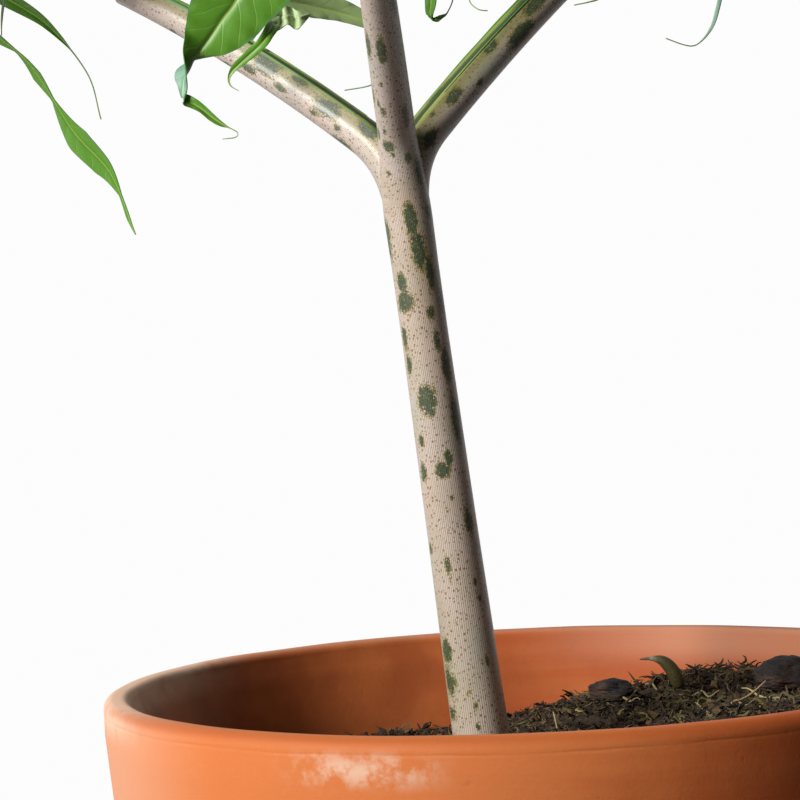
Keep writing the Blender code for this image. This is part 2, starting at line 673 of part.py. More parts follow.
# Leaflets that hang where the leaf opens: the branch they grow from (None for the arm itself) and the place
# along it, their run from there in metres, the roll of the blade in degrees at even shares of the run, and
# the half-width
HANGING_LEAFLETS = {
    "front": (
        (0, 0.030,
         ((-0.065, -0.120, 0.538), (-0.074, -0.117, 0.515), (-0.085, -0.112, 0.487), (-0.098, -0.106, 0.472),
          (-0.103, -0.106, 0.460), (-0.092, -0.103, 0.451), (-0.087, -0.102, 0.447)),
         (-50, -80, -115, -125, -125, -125, -150, -190, -230, -250), 0.0225),
        (None, 0.120,
         ((-0.033, -0.090, 0.527), (-0.025, -0.096, 0.512), (-0.025, -0.098, 0.496), (-0.027, -0.095, 0.483),
          (-0.023, -0.094, 0.480), (-0.020, -0.092, 0.486)),
         (-10, -50, -80, -90, -90, -60), 0.0090),
    ),
    "left": (
        (None, 0.077,
         ((-0.080, 0.026, 0.502), (-0.084, 0.012, 0.494), (-0.092, 0.007, 0.487), (-0.097, 0.007, 0.482),
          (-0.096, 0.008, 0.478), (-0.094, 0.009, 0.476)),
         (-80, -90, -90, -90, -90), 0.0034),
        (None, 0.081,
         ((-0.080, 0.044, 0.508), (-0.072, 0.052, 0.514), (-0.061, 0.055, 0.512), (-0.049, 0.058, 0.508),
          (-0.042, 0.062, 0.508), (-0.040, 0.070, 0.521)),
         (10, 50, 65, 65, 60, 50), 0.0080),
        (1, 0.125,
         ((-0.211, 0.156, 0.575), (-0.208, 0.150, 0.548), (-0.182, 0.150, 0.527), (-0.166, 0.150, 0.506),
          (-0.161, 0.150, 0.486)),
         (0, -30, -70, -90, -90, -90), 0.0065),
        (1, 0.100,
         ((-0.198, 0.135, 0.572), (-0.213, 0.150, 0.537), (-0.190, 0.150, 0.511), (-0.173, 0.150, 0.482),
          (-0.158, 0.150, 0.463), (-0.149, 0.150, 0.437)),
         (0, -40, -80, -90, -90, -90), 0.0062),
    ),
    "right": (
        (None, 0.155,
         ((0.081, 0.033, 0.556), (0.087, 0.018, 0.546), (0.084, 0.004, 0.525), (0.078, 0.000, 0.498),
          (0.074, 0.000, 0.487), (0.064, 0.000, 0.482)),
         (0, -10, -50, -90, -90, -60), 0.0150),
        (None, 0.100,
         ((0.013, 0.025, 0.529), (-0.002, 0.016, 0.533), (-0.015, 0.010, 0.521), (-0.016, 0.006, 0.506),
          (-0.011, 0.004, 0.496)),
         (0, 20, 40, 60, 70), 0.0100),
        (None, 0.140,
         ((0.025, 0.085, 0.572), (-0.010, 0.105, 0.578), (-0.035, 0.115, 0.560), (-0.045, 0.120, 0.535),
          (-0.038, 0.120, 0.500), (-0.046, 0.120, 0.492), (-0.059, 0.120, 0.491)),
         (0, 0, 0, 30, 60, 60), 0.0150),
    ),
}
# Generated leaflets that the hanging ones stand in for, by branch and number
LEFT_OUT = {("front", 0, 1)}


def branch_leaflets(name, number, branch, chance, stations):
    """The leaflets of one branch, in alternate places along it and one at its tip."""
    made = []
    _, _, _, size, limp = BRANCHES[name][number]
    for order, (place, side, spread, length, half_width) in enumerate(BRANCH_LEAFLETS):
        place *= size
        azimuth = math.degrees(branch.azimuth_at(place)) + side * (spread + chance.uniform(-6, 6))
        leaflet = drooping_leaflet(
            branch.at(place), azimuth, math.degrees(branch.elevation_at(place)) * 0.5 + chance.uniform(8, 20),
            length * size * chance.uniform(0.94, 1.06), half_width * size, limp * chance.uniform(70, 96),
            side * chance.uniform(-70, 30), side * chance.uniform(8, 22), chance.uniform(0, math.tau), stations)
        if (name, number, order) not in LEFT_OUT:
            made.append(leaflet)
    place, length, half_width = (value * size for value in TIP_LEAFLET)
    made.append(drooping_leaflet(
        branch.at(place), math.degrees(branch.azimuth_at(place)) + chance.uniform(-5, 5),
        math.degrees(branch.elevation_at(place)) + 6, length, half_width, limp * chance.uniform(66, 88),
        chance.uniform(-60, 60), chance.uniform(-12, 12), chance.uniform(0, math.tau), stations))
    return made


def branch_stem(name, arm, number):
    spread, lift, flatten, size, _ = BRANCHES[name][number]
    start = arm.length - BRANCH_START
    return Stem(arm.at(start), arm.azimuth + spread, math.degrees(arm.elevation_at(start)) + lift,
                BRANCH_LENGTH * size, flatten, -BRANCH_RETURN * spread / BRANCH_LENGTH, BRANCH_GIRTH)


def add_wing(bm, branch):
    """The narrow wing of leaf along a branch, on its upper side."""
    steps = BRANCH_RINGS - 1
    places = [branch.length * (WING_START + (1 - WING_START) * k / steps) for k in range(steps + 1)]
    points, sides, widths = [], [], []
    for place in places:
        around = branch.azimuth_at(place)
        ahead = branch.heading(place)
        side = Vector((-math.sin(around), math.cos(around), 0.0))
        points.append(branch.at(place) + ahead.cross(side) * WING_LIFT)
        sides.append(side)
        widths.append(interpolate(WING_HALF_WIDTHS, place))
    lifts = [BLADE_FOLD * width for width in widths]
    add_strip(bm, points, sides, widths, lifts, lifts)


def division_leaflets(name, arm, branches, chance):
    made = []
    for order, (number, place, route, turns, half_width) in enumerate(HANGING_LEAFLETS[name]):
        stem = arm if number is None else branches[number]
        route = (tuple(stem.at(place)),) + route
        made.append(routed_leaflet(route, turns, half_width, 0.7 * order, HANGING_STATIONS))
    for number, branch in enumerate(branches):
        made += branch_leaflets(name, number, branch, chance, BLADE_STATIONS)
    return made


def build_divisions():
    """The three leafy parts of the leaf: an arm's outer end, its two branches and their leaflets."""
    finish = material("leaf_green", LEAF_GREEN, 0.4)
    chance = random.Random(RANDOM_SEED)
    for name in ARMS:
        arm = arm_stem(name)
        branches = [branch_stem(name, arm, number) for number in (0, 1)]
        pieces = bpy.data.collections.new("pieces_" + name)
        bm = bmesh.new()
        path, radii = arm.piece(ARMS[name]["bare"], arm.length, ARM_END_RINGS)
        add_tube(bm, path, radii, STALK_SIDES, math.radians(arm.azimuth), [1.0] * ARM_END_RINGS)
        division = object_from(bm, "leaf_division_" + name, finish)
        for number, branch in enumerate(branches):
            bm = bmesh.new()
            path, radii = branch.piece(0.0, branch.length, BRANCH_RINGS)
            grooves = [BRANCH_GROOVE] * BRANCH_RINGS
            add_tube(bm, path, radii, BRANCH_SIDES, math.radians(branch.azimuth), grooves)
            move_to(object_from(bm, f"branch_{name}_{number}"), pieces)
            bm = bmesh.new()
            add_wing(bm, branch)
            move_to(object_from(bm, f"wing_{name}_{number}"), pieces)
        for number, leaflet in enumerate(division_leaflets(name, arm, branches, chance)):
            bm = bmesh.new()
            add_leaflet(bm, leaflet)
            move_to(object_from(bm, f"leaflet_{name}_{number}"), pieces)
        join_with(division, pieces)


def main():
    clear_scene()
    build_pot()
    build_tuber()
    build_soil()
    build_bark()
    build_leaf_stalk()
    build_divisions()


if __name__ == "__main__":
    main()
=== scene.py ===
"""Potted amorphophallus: the looks of its clay pot, its potting mix and its one mottled, divided leaf.

Metres, +Z up, the front at -Y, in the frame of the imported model.
"""

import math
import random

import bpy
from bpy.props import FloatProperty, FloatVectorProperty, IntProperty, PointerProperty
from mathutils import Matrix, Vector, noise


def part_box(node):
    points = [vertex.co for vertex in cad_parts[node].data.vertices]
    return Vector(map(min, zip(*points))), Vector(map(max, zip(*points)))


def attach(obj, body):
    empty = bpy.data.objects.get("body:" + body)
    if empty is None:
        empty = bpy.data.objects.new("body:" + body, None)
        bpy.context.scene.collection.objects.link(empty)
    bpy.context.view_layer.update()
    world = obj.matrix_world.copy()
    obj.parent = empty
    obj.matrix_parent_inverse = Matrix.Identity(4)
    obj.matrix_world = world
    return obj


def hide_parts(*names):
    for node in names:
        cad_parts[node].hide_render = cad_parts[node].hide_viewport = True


bl_info = {
    "name": "Potted Amorphophallus",
    "version": (1, 0, 0),
    "blender": (4, 5, 0),
    "location": "3D View > Sidebar > Plant",
    "description": "Builds a clay pot with the mottled stalk and the divided leaf that grow in it",
    "category": "Object",
}

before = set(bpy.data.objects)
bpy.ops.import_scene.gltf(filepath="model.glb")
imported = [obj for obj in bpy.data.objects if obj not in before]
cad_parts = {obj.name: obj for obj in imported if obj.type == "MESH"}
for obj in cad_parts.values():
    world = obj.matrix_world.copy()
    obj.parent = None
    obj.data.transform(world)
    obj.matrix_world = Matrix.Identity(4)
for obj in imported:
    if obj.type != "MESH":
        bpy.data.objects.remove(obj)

BODY = "root"

# Clay pot, whose height and rim come from the frame
POT_LOW, POT_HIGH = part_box("pot")
RIM_RADIUS = POT_HIGH.x
POT_HEIGHT = POT_HIGH.z
RIM_THICKNESS = 0.0095
RIM_UPRIGHT = 0.012
COLLAR_HEIGHT = 0.048
COLLAR_TAPER = math.radians(4.5)
COLLAR_STEP = 0.0060
FOOT_RADIUS = 0.100
WALL_THICKNESS = 0.0090
FLOOR_THICKNESS = 0.012
DRAIN_RADIUS = 0.013
EDGE_ROUND = 0.0035
COLLAR_FOOT = POT_HEIGHT - COLLAR_HEIGHT
COLLAR_FOOT_RADIUS = RIM_RADIUS - (COLLAR_HEIGHT - RIM_UPRIGHT) * math.tan(COLLAR_TAPER)
BODY_TOP_RADIUS = COLLAR_FOOT_RADIUS - COLLAR_STEP
FLARE_DEPTH = 0.009
# The inner wall, from the floor to the rim, as (r, z)
INNER_WALL = (
    (FOOT_RADIUS - WALL_THICKNESS - 0.006, FLOOR_THICKNESS),
    (FOOT_RADIUS - WALL_THICKNESS + 0.001, FLOOR_THICKNESS + 0.007),
    (BODY_TOP_RADIUS - WALL_THICKNESS, COLLAR_FOOT),
    (RIM_RADIUS - RIM_THICKNESS, POT_HEIGHT - EDGE_ROUND),
)

# Potting mix
SOIL_DEPTH_BELOW_RIM = 0.036
SOIL_RISE = 0.016
SEAT_GAP = 0.0003
# Position on the soil, length, width, height, turn in degrees
BARK_CHIPS = {
    "bark_chip_large": (0.098, 0.052, 0.027, 0.021, 0.017, 20),
    "bark_chip_dark": (0.035, 0.082, 0.020, 0.015, 0.012, -35),
    "bark_chip_by_stalk": (-0.001, 0.022, 0.014, 0.011, 0.008, 60),
    "bark_chip_front": (0.052, -0.058, 0.024, 0.014, 0.009, 10),
    "bark_chip_left": (-0.078, 0.034, 0.022, 0.013, 0.009, 75),
}
BARK_PAD = 0.007
BARK_PAD_SLOPE = 0.010
BARK_ROUGHNESS = 0.22
BARK_FLAT = 0.26
# Centre, radius and height of the heaps in the mix
SOIL_HEAPS = (
    (0.072, 0.088, 0.034, 0.0065),
    (0.100, -0.010, 0.040, 0.0040),
    (-0.060, -0.070, 0.045, 0.0040),
    (0.020, 0.100, 0.030, 0.0030),
    (-0.095, 0.060, 0.030, 0.0045),
)
SOIL_BUMP_HEIGHT = 0.0016
SOIL_BUMP_LENGTH = 0.016

# Leaf stalk and the three arms it forks into
FORK = Vector((-0.0373, 0.0, 0.4451))
STALK_LEAN = math.radians(5.2)
TUBER_TOP = 0.168
TUBER_BELOW_FORK = (FORK.z - TUBER_TOP) / math.cos(STALK_LEAN)
STALK_GIRTH = ((0.280, 0.0104), (0.200, 0.0100), (0.132, 0.0090), (0.061, 0.0083), (0.035, 0.0083),
               (0.012, 0.0086), (0.0, 0.0084))
ARM_GIRTH = ((0.0, 0.0068), (0.05, 0.0063), (0.145, 0.0050))
ARMS = {
    "front": dict(azimuth=-95.5, elevation=46.0, flatten=80.0, length=0.140, bare=0.082),
    "left": dict(azimuth=150.0, elevation=39.0, flatten=80.0, length=0.140, bare=0.070),
    "right": dict(azimuth=28.0, elevation=47.0, flatten=70.0, length=0.165, bare=0.092),
}
BEND_REACH = 0.019
SIDE_ARM_SHARE = 0.93

# Branches and leaflets
BRANCH_LENGTH = 0.190
BRANCH_GIRTH = ((0.0, 0.0044), (0.08, 0.0032), (0.200, 0.0016))
BRANCH_START = 0.012
BRANCH_RETURN = 0.3
BRANCH_GROOVE = 0.5
# Spread to the side of the arm and lift above it in degrees, flattening in degrees per metre, size as a share
# of the usual, and how far its leaflets droop as a share of the usual
BRANCHES = {
    "front": ((-33.0, 0.0, 95.0, 0.87, 1.0), (33.0, 0.0, 90.0, 0.87, 1.0)),
    "left": ((33.0, 0.0, 90.0, 0.83, 0.85), (-36.0, 12.0, 95.0, 1.06, 0.66)),
    "right": ((-33.0, 0.0, 105.0, 1.10, 1.0), (38.0, 0.0, 110.0, 1.14, 0.90)),
}
# Place along the branch, side of it (1 is to its left), spread in degrees, length, half-width
BRANCH_LEAFLETS = (
    (0.030, 1, 64, 0.100, 0.0165),
    (0.046, -1, 62, 0.110, 0.0185),
    (0.074, 1, 58, 0.126, 0.0200),
    (0.096, -1, 55, 0.130, 0.0205),
    (0.124, 1, 50, 0.132, 0.0200),
    (0.144, -1, 47, 0.126, 0.0195),
    (0.168, 1, 42, 0.116, 0.0180),
    (0.182, -1, 36, 0.108, 0.0170),
)
TIP_LEAFLET = (0.187, 0.128, 0.0190)
WING_HALF_WIDTHS = ((0.0, 0.0030), (0.09, 0.0052), (0.200, 0.0075))
WING_LIFT = 0.0011
WING_ROOT = 0.0002
LIP_ANGLE = 0.62
WING_START = 0.06
DRIP_TIP_START = 0.78
DRIP_TIP_SHARE = 0.13
THREAD_HALF_WIDTH = 0.0002
VEIN_SLOPE = 1.3
BEND_SHARE = 0.45
RUN_STEPS = 240
ROUTE_STEPS = 24
HOOK_START = 0.55
# Shares of a leaflet's run at which it is seen how much room a bend leaves it
ROOM_PLACES = (0.0, 0.07, 0.20, 0.37, 0.55, 0.71, 0.85, 1.0)
DRAWN_STEPS = 6
BLADE_FOLD = 0.32
MARGIN_WAVE_SHARE = 0.16
MARGIN_WAVES = 2.2
MARGIN_LAG = 2.4
RANDOM_SEED = 11

# Leaflets that hang where the leaf opens: the branch they grow from (None for the arm itself) and the place
# along it, their run from there in metres, the roll of the blade in degrees at even shares of the run, the
# half-width, and where it isn't the usual one the table of (share of the run, share of the half-width)
TIP_SHARES = ((0.0, 0.12), (0.08, 0.5), (0.25, 1.0), (0.45, 1.0), (0.60, 0.70), (0.70, 0.46), (0.76, 0.36),
              (0.82, 0.26), (0.86, 0.16), (0.90, 0.06), (1.0, 0.03))
TWISTED_SHARES = ((0.0, 0.12), (0.15, 0.6), (0.35, 0.9), (0.47, 0.55), (0.53, 0.12), (0.60, 0.50), (0.66, 0.12),
                  (0.76, 0.95), (0.84, 0.80), (0.91, 0.14), (0.96, 0.20), (1.0, 0.05))
WITHERED_SHARES = ((0.0, 0.5), (0.4, 0.3), (1.0, 0.05))
HANGING_LEAFLETS = {
    "left": (
        (1, 0.125,
         ((-0.211, 0.156, 0.575), (-0.208, 0.150, 0.548), (-0.182, 0.150, 0.527), (-0.166, 0.150, 0.506),
          (-0.161, 0.150, 0.486)),
         (0, -30, -70, -90, -90, -90), 0.0065, None),
        (1, 0.100,
         ((-0.198, 0.135, 0.572), (-0.213, 0.150, 0.537), (-0.190, 0.150, 0.511), (-0.173, 0.150, 0.482),
          (-0.158, 0.150, 0.463), (-0.149, 0.150, 0.437)),
         (0, -40, -80, -90, -90, -90), 0.0058, TWISTED_SHARES),
    ),
    "right": (
        (None, 0.155,
         ((0.0775, 0.0300, 0.5530), (0.0850, 0.0150, 0.5400), (0.0825, 0.0040, 0.5195), (0.0790, 0.0, 0.5050),
          (0.0765, 0.0, 0.4950), (0.0745, 0.0, 0.4890), (0.0715, 0.0, 0.4845), (0.0680, 0.0, 0.4820),
          (0.0640, 0.0, 0.4825), (0.0580, 0.0, 0.4850)),
         (0, -10, -40, -80, -90, -90, -90, -90, -90), 0.0042, TIP_SHARES),
        (None, 0.100,
         ((0.0195, 0.0300, 0.5245), (0.0060, 0.0200, 0.5290), (-0.0060, 0.0120, 0.5220),
          (-0.0115, 0.0080, 0.5110), (-0.0105, 0.0060, 0.5035), (-0.0095, 0.0050, 0.5010),
          (-0.0070, 0.0040, 0.4990), (-0.0040, 0.0040, 0.4985)),
         (0, 20, 40, 60, 70), 0.0100, None),
        (None, 0.140,
         ((0.025, 0.085, 0.572), (-0.010, 0.105, 0.578), (-0.035, 0.115, 0.560), (-0.045, 0.120, 0.535),
          (-0.0390, 0.120, 0.5045), (-0.0415, 0.120, 0.4945), (-0.0475, 0.120, 0.4905), (-0.0580, 0.120, 0.4890)),
         (0, 0, 0, 30, 60, 60), 0.0150, None),
        (1, 0.020,
         ((0.0700, 0.0600, 0.5400), (0.0575, 0.0600, 0.5320), (0.0465, 0.0600, 0.5175), (0.0415, 0.0600, 0.5110),
          (0.0375, 0.0600, 0.5095), (0.0315, 0.0600, 0.5085)),
         (0, -60, -90), 0.0030, WITHERED_SHARES),
    ),
}
# Leaflets that show up close: the arm they grow from, how light they are (from 1 on they are painted paler, to 2, as a
# painted sheen), and their
# rows in millimetres: a point of the midrib, and from there the way to the left and to the right margin
DRAWN_LEAFLETS = {
    "broad_leaflet": ("front", 0.6, (
        ((-61.5, -116.0, 545.0), (0.5, 0.0, -0.5), (-0.5, 0.0, 0.5)),
        ((-66.0, -116.5, 531.0), (5.5, -0.5, -2.5), (-6.0, -1.0, 0.5)),
        ((-73.0, -116.0, 512.5), (13.0, -1.0, -7.0), (-10.0, -0.5, 1.5)),
        ((-79.5, -115.5, 496.5), (13.0, -1.0, -9.0), (-13.0, 0.0, 4.5)),
        ((-85.0, -115.0, 485.5), (9.0, -0.5, -7.5), (-11.0, -0.5, 6.5)),
        ((-89.5, -115.0, 480.0), (8.0, -0.5, -7.0), (-9.5, -1.0, 5.0)),
        ((-94.0, -115.0, 474.0), (5.5, 0.0, -4.5), (-6.5, -1.5, 4.5)),
        ((-96.5, -115.0, 471.0), (3.0, 0.5, -2.0), (-4.5, -2.5, 4.0)),
        ((-98.5, -115.0, 468.0), (-1.0, 3.0, 0.5), (-3.0, -3.0, 3.0)),
        ((-100.0, -115.0, 465.0), (-4.0, 3.0, 1.0), (-1.5, -2.5, 2.5)),
        ((-101.5, -115.0, 462.5), (-3.5, 2.0, 1.0), (0.5, -2.0, 0.5)),
        ((-102.0, -115.0, 460.0), (-2.0, 1.0, 0.5), (1.0, -1.0, 0.5)),
        ((-102.3, -115.0, 457.7), (-0.7, 1.0, -0.5), (0.9, -1.0, 0.6)),
        ((-101.5, -115.0, 456.0), (0.0, 1.0, 2.0), (-1.0, -1.5, -1.0)),
        ((-99.5, -115.0, 455.0), (0.7, 0.0, 1.6), (-0.8, -0.5, -1.3)),
        ((-97.0, -115.0, 453.2), (1.0, 0.0, 1.0), (-0.7, -0.5, -0.9)),
        ((-94.0, -115.0, 450.6), (0.7, 0.0, 0.8), (-0.8, 0.0, -1.0)),
        ((-91.3, -115.0, 448.6), (0.4, 0.0, 0.4), (-0.6, 0.0, -0.7)),
        ((-89.3, -115.0, 447.4), (0.1, 0.0, 0.2), (-0.1, 0.0, -0.2)),
        ((-86.7, -115.0, 445.8), (0.1, 0.0, 0.1), (-0.1, 0.0, -0.1)),
        ((-87.3, -115.0, 444.4), (0.1, 0.0, -0.1), (-0.1, 0.0, 0.1)),
        ((-91.3, -115.0, 444.0), (0.0, 0.0, -0.1), (0.0, 0.0, 0.1)),
    )),
    "strap_leaflet": ("left", 1.0, (
        ((-86.0, 30.0, 494.0), (0.7, 0.0, -0.5), (-0.7, 0.0, 0.5)),
        ((-81.5, 18.0, 497.0), (1.5, -3.0, -0.5), (-2.0, 2.0, 2.0)),
        ((-79.5, 8.0, 498.5), (2.0, 0.0, -1.0), (-2.5, 0.0, 2.0)),
        ((-81.0, 2.0, 495.2), (1.0, 0.0, -2.0), (-1.7, -2.0, 1.2)),
        ((-84.0, 0.0, 490.7), (1.6, 0.0, -1.2), (-2.0, 0.0, 0.8)),
        ((-88.5, 0.0, 486.8), (1.4, 0.0, -1.1), (-2.0, 0.0, 0.8)),
        ((-92.6, 0.0, 483.4), (1.2, 0.0, -0.5), (-1.6, 0.0, 0.8)),
        ((-95.3, 0.0, 480.9), (0.7, 0.0, -0.3), (-0.8, 0.0, 0.6)),
        ((-96.4, 0.0, 478.4), (0.4, 0.0, 0.0), (-0.4, 0.0, 0.0)),
        ((-95.7, 0.0, 476.0), (0.2, 0.0, 0.1), (-0.2, 0.0, -0.1)),
        ((-93.0, 0.0, 474.2), (0.0, 0.0, 0.1), (0.0, 0.0, -0.1)),
    )),
    "level_leaflet": ("left", 1.7, (
        ((-94.0, 33.0, 491.5), (0.0, 0.0, 0.7), (0.0, 0.0, -0.7)),
        ((-86.0, 42.0, 507.5), (-0.5, 0.0, 5.0), (1.5, -2.0, -3.5)),
        ((-79.0, 48.0, 513.5), (0.0, -1.0, 5.0), (0.5, -2.0, -5.5)),
        ((-72.0, 52.0, 513.2), (1.0, -1.0, 6.2), (0.5, -2.0, -5.2)),
        ((-65.5, 55.0, 511.9), (1.5, -1.0, 5.6), (0.0, -2.0, -4.6)),
        ((-57.2, 58.0, 509.8), (1.7, -1.0, 4.9), (-1.0, -1.0, -3.2)),
        ((-48.6, 60.0, 507.0), (0.4, 0.0, 3.9), (-1.1, 0.0, -2.6)),
        ((-41.0, 62.0, 503.6), (0.8, 0.0, 2.6), (-0.7, 0.0, -1.9)),
        ((-36.2, 64.0, 500.7), (0.3, 0.0, 0.4), (-0.3, 0.0, -0.4)),
    )),
    "ruffle": ("left", 2.0, (
        ((-68.5, 50.0, 508.2), (-0.4, 0.0, 1.1), (-0.4, -1.0, -1.3)),
        ((-72.0, 46.0, 506.8), (-0.4, 2.0, 2.6), (0.0, -2.0, -4.0)),
        ((-74.2, 48.0, 507.3), (-1.0, 1.0, 4.0), (0.0, -2.0, -4.8)),
        ((-77.0, 45.0, 507.0), (-0.6, 2.0, 4.2), (0.4, -1.0, -2.8)),
        ((-80.0, 47.0, 506.3), (-0.7, 1.0, 4.5), (0.4, -2.0, -3.9)),
        ((-83.0, 45.0, 504.8), (-0.7, 2.0, 3.9), (0.0, -1.0, -3.5)),
    )),
    "folded_leaflet": ("front", 0.9, (
        ((-46.0, -90.0, 523.4), (0.5, 0.0, -0.7), (-0.5, 0.0, 0.7)),
        ((-32.5, -93.0, 520.5), (1.2, -1.0, -3.6), (-0.8, 1.0, 3.6)),
        ((-26.0, -96.0, 508.0), (4.0, -1.0, -1.2), (-3.2, 2.0, 1.3)),
        ((-25.5, -96.0, 495.5), (2.9, -2.0, -1.2), (-2.2, 2.0, 0.8)),
        ((-26.1, -95.0, 485.4), (1.6, -2.0, -0.2), (-1.8, 1.0, 0.2)),
        ((-26.5, -94.0, 482.3), (1.0, -1.0, -0.3), (-1.1, 1.0, 0.0)),
        ((-25.6, -93.0, 480.4), (0.2, 1.0, 0.7), (-0.7, -1.0, 0.3)),
        ((-24.2, -92.5, 480.8), (0.2, 0.0, 0.8), (-0.2, 0.0, -1.1)),
        ((-22.6, -92.0, 481.6), (0.0, 0.0, 0.5), (0.1, 0.0, -0.6)),
        ((-21.1, -92.0, 482.6), (-0.1, 0.0, 0.2), (0.1, 0.0, -0.2)),
        ((-19.2, -92.0, 486.5), (-0.2, 0.0, 0.0), (0.2, 0.0, 0.0)),
        ((-19.4, -92.0, 491.0), (-0.1, 0.0, 0.0), (0.1, 0.0, 0.0)),
    )),
}
# Generated leaflets that the hanging ones stand in for, by branch and number
LEFT_OUT = {("front", 0, 1)}
# Narrow blades that stand on the lips of the arms: side of the groove (1 is to the left), where each starts
# along the arm, its width there and at the arm's end, and how far it leans out from upright in degrees
ARM_WINGS = {
    "front": ((-1, 0.055, 0.0002, 0.0012, 40),),
    "left": ((1, 0.024, 0.0002, 0.0016, 40), (-1, 0.024, 0.0002, 0.0016, 40)),
    "right": ((1, 0.016, 0.0004, 0.0034, 30), (-1, 0.030, 0.0002, 0.0020, 30)),
}

# Blotches on the stalk and the front arm, on the side that faces the front: distance below the fork (above it
# where negative), degrees to the right of the middle, length and width in metres, and strength
STALK_BLOTCHES = (
    (-0.074, 61, 0.0160, 0.0034, 0.7),
    (-0.056, -6, 0.0110, 0.0036, 1.0),
    (-0.056, -56, 0.0130, 0.0040, 0.8),
    (-0.041, -22, 0.0026, 0.0020, 0.8),
    (-0.032, -42, 0.0050, 0.0026, 0.6),
    (-0.029, -28, 0.0060, 0.0034, 0.7),
    (-0.026, 43, 0.0130, 0.0032, 0.8),
    (-0.020, -32, 0.0034, 0.0026, 0.8),
    (-0.017, -64, 0.0070, 0.0026, 0.7),
    (-0.013, -26, 0.0056, 0.0048, 1.0),
    (-0.009, -12, 0.0030, 0.0020, 0.7),
    (-0.007, 30, 0.0060, 0.0034, 0.8),
    (-0.001, -32, 0.0050, 0.0036, 0.6),
    (0.001, 62, 0.0140, 0.0050, 0.9),
    (0.017, 64, 0.0071, 0.0048, 0.8),
    (0.020, 10, 0.0149, 0.0048, 1.0),
    (0.025, -70, 0.0178, 0.0060, 0.8),
    (0.031, 18, 0.0142, 0.0056, 1.0),
    (0.039, 40, 0.0142, 0.0038, 0.9),
    (0.041, -37, 0.0071, 0.0044, 1.0),
    (0.048, -36, 0.0092, 0.0096, 0.85),
    (0.049, 74, 0.0128, 0.0060, 0.8),
    (0.053, 27, 0.0057, 0.0032, 1.0),
    (0.060, -56, 0.0078, 0.0038, 0.95),
    (0.063, 33, 0.0078, 0.0030, 0.95),
    (0.070, -52, 0.0121, 0.0045, 0.7),
    (0.072, 50, 0.0142, 0.0049, 0.9),
    (0.083, -12, 0.0114, 0.0076, 0.95),
    (0.087, -6, 0.0060, 0.0040, 0.8),
    (0.091, 56, 0.0178, 0.0050, 0.9),
    (0.097, -43, 0.0050, 0.0029, 0.95),
    (0.104, 20, 0.0064, 0.0032, 1.0),
    (0.108, 2, 0.0071, 0.0070, 0.85),
    (0.108, -51, 0.0085, 0.0045, 0.8),
    (0.118, 15, 0.0043, 0.0029, 0.5),
    (0.127, 47, 0.0100, 0.0047, 0.9),
    (0.135, -66, 0.0057, 0.0043, 0.8),
    (0.142, -16, 0.0164, 0.0056, 0.42),
    (0.148, 39, 0.0050, 0.0027, 0.7),
    (0.154, 46, 0.0043, 0.0026, 0.7),
    (0.161, -17, 0.0036, 0.0029, 0.4),
    (0.171, -53, 0.0107, 0.0070, 0.8),
    (0.176, 41, 0.0085, 0.0023, 0.6),
    (0.182, -54, 0.0135, 0.0078, 0.7),
    (0.186, -9, 0.0057, 0.0036, 0.4),
    (0.191, 2, 0.0057, 0.0032, 0.5),
    (0.193, -59, 0.0085, 0.0080, 0.6),
    (0.198, 1, 0.0050, 0.0032, 0.55),
)
# Blotches on the side arms: distance from the fork, degrees round from the top, length, width and strength
SIDE_BLOTCHES = {
    "left": (
        (0.016, 45, 0.0100, 0.0056, 1.0),
        (0.026, 104, 0.0060, 0.0036, 0.7),
        (0.034, 70, 0.0130, 0.0066, 1.0),
        (0.038, 108, 0.0060, 0.0036, 0.7),
        (0.050, 48, 0.0120, 0.0040, 0.7),
        (0.055, 104, 0.0080, 0.0036, 0.7),
        (0.065, 66, 0.0130, 0.0064, 1.0),
        (0.066, 44, 0.0180, 0.0040, 0.9),
        (0.072, 108, 0.0120, 0.0040, 0.8),
    ),
    "right": (
        (0.012, -88, 0.0090, 0.0050, 1.0),
        (0.020, -50, 0.0050, 0.0030, 0.6),
        (0.031, -64, 0.0110, 0.0046, 0.9),
        (0.042, -100, 0.0070, 0.0030, 0.6),
        (0.055, -48, 0.0090, 0.0040, 0.9),
        (0.067, -95, 0.0150, 0.0060, 1.0),
        (0.080, -62, 0.0130, 0.0046, 1.0),
    ),
}
# Angles round a side arm between which its own blotches lie
SIDE_FACES = {"left": (-20.0, 150.0), "right": (-150.0, 20.0)}


def linear(code):
    """A colour given as a hex code, as linear red, green and blue."""
    values = (int(code[k:k + 2], 16) / 255 for k in (1, 3, 5))
    return tuple(v / 12.92 if v <= 0.04045 else ((v + 0.055) / 1.055) ** 2.4 for v in values)


def colour_setting(name, description, code):
    return FloatVectorProperty(name=name, description=description, default=linear(code), size=3,
                               subtype="COLOR", min=0.0, max=1.0)


def length_setting(name, description, default):
    return FloatProperty(name=name, description=description, default=default, min=0.0, unit="LENGTH",
                         precision=5)


class ClaySettings(bpy.types.PropertyGroup):
    """The clay pot's finish."""

    light: colour_setting("Light clay", "Colour of the fired clay", "#D4773F")
    dark: colour_setting("Dark clay", "Colour of its darker clouds", "#BE5826")
    bloom: colour_setting("Lime bloom", "Colour of the lime on the rim and in patches on the front", "#EBCDB4")
    seam_drop: length_setting("Seam below the rim", "Where the folded edge of the rim ends outside", 0.0050)
    seam_depth: length_setting("Seam depth", "Depth of the line under the folded edge", 0.00014)
    steps: IntProperty(name="Steps", description="Faces round the pot", default=320, min=48)


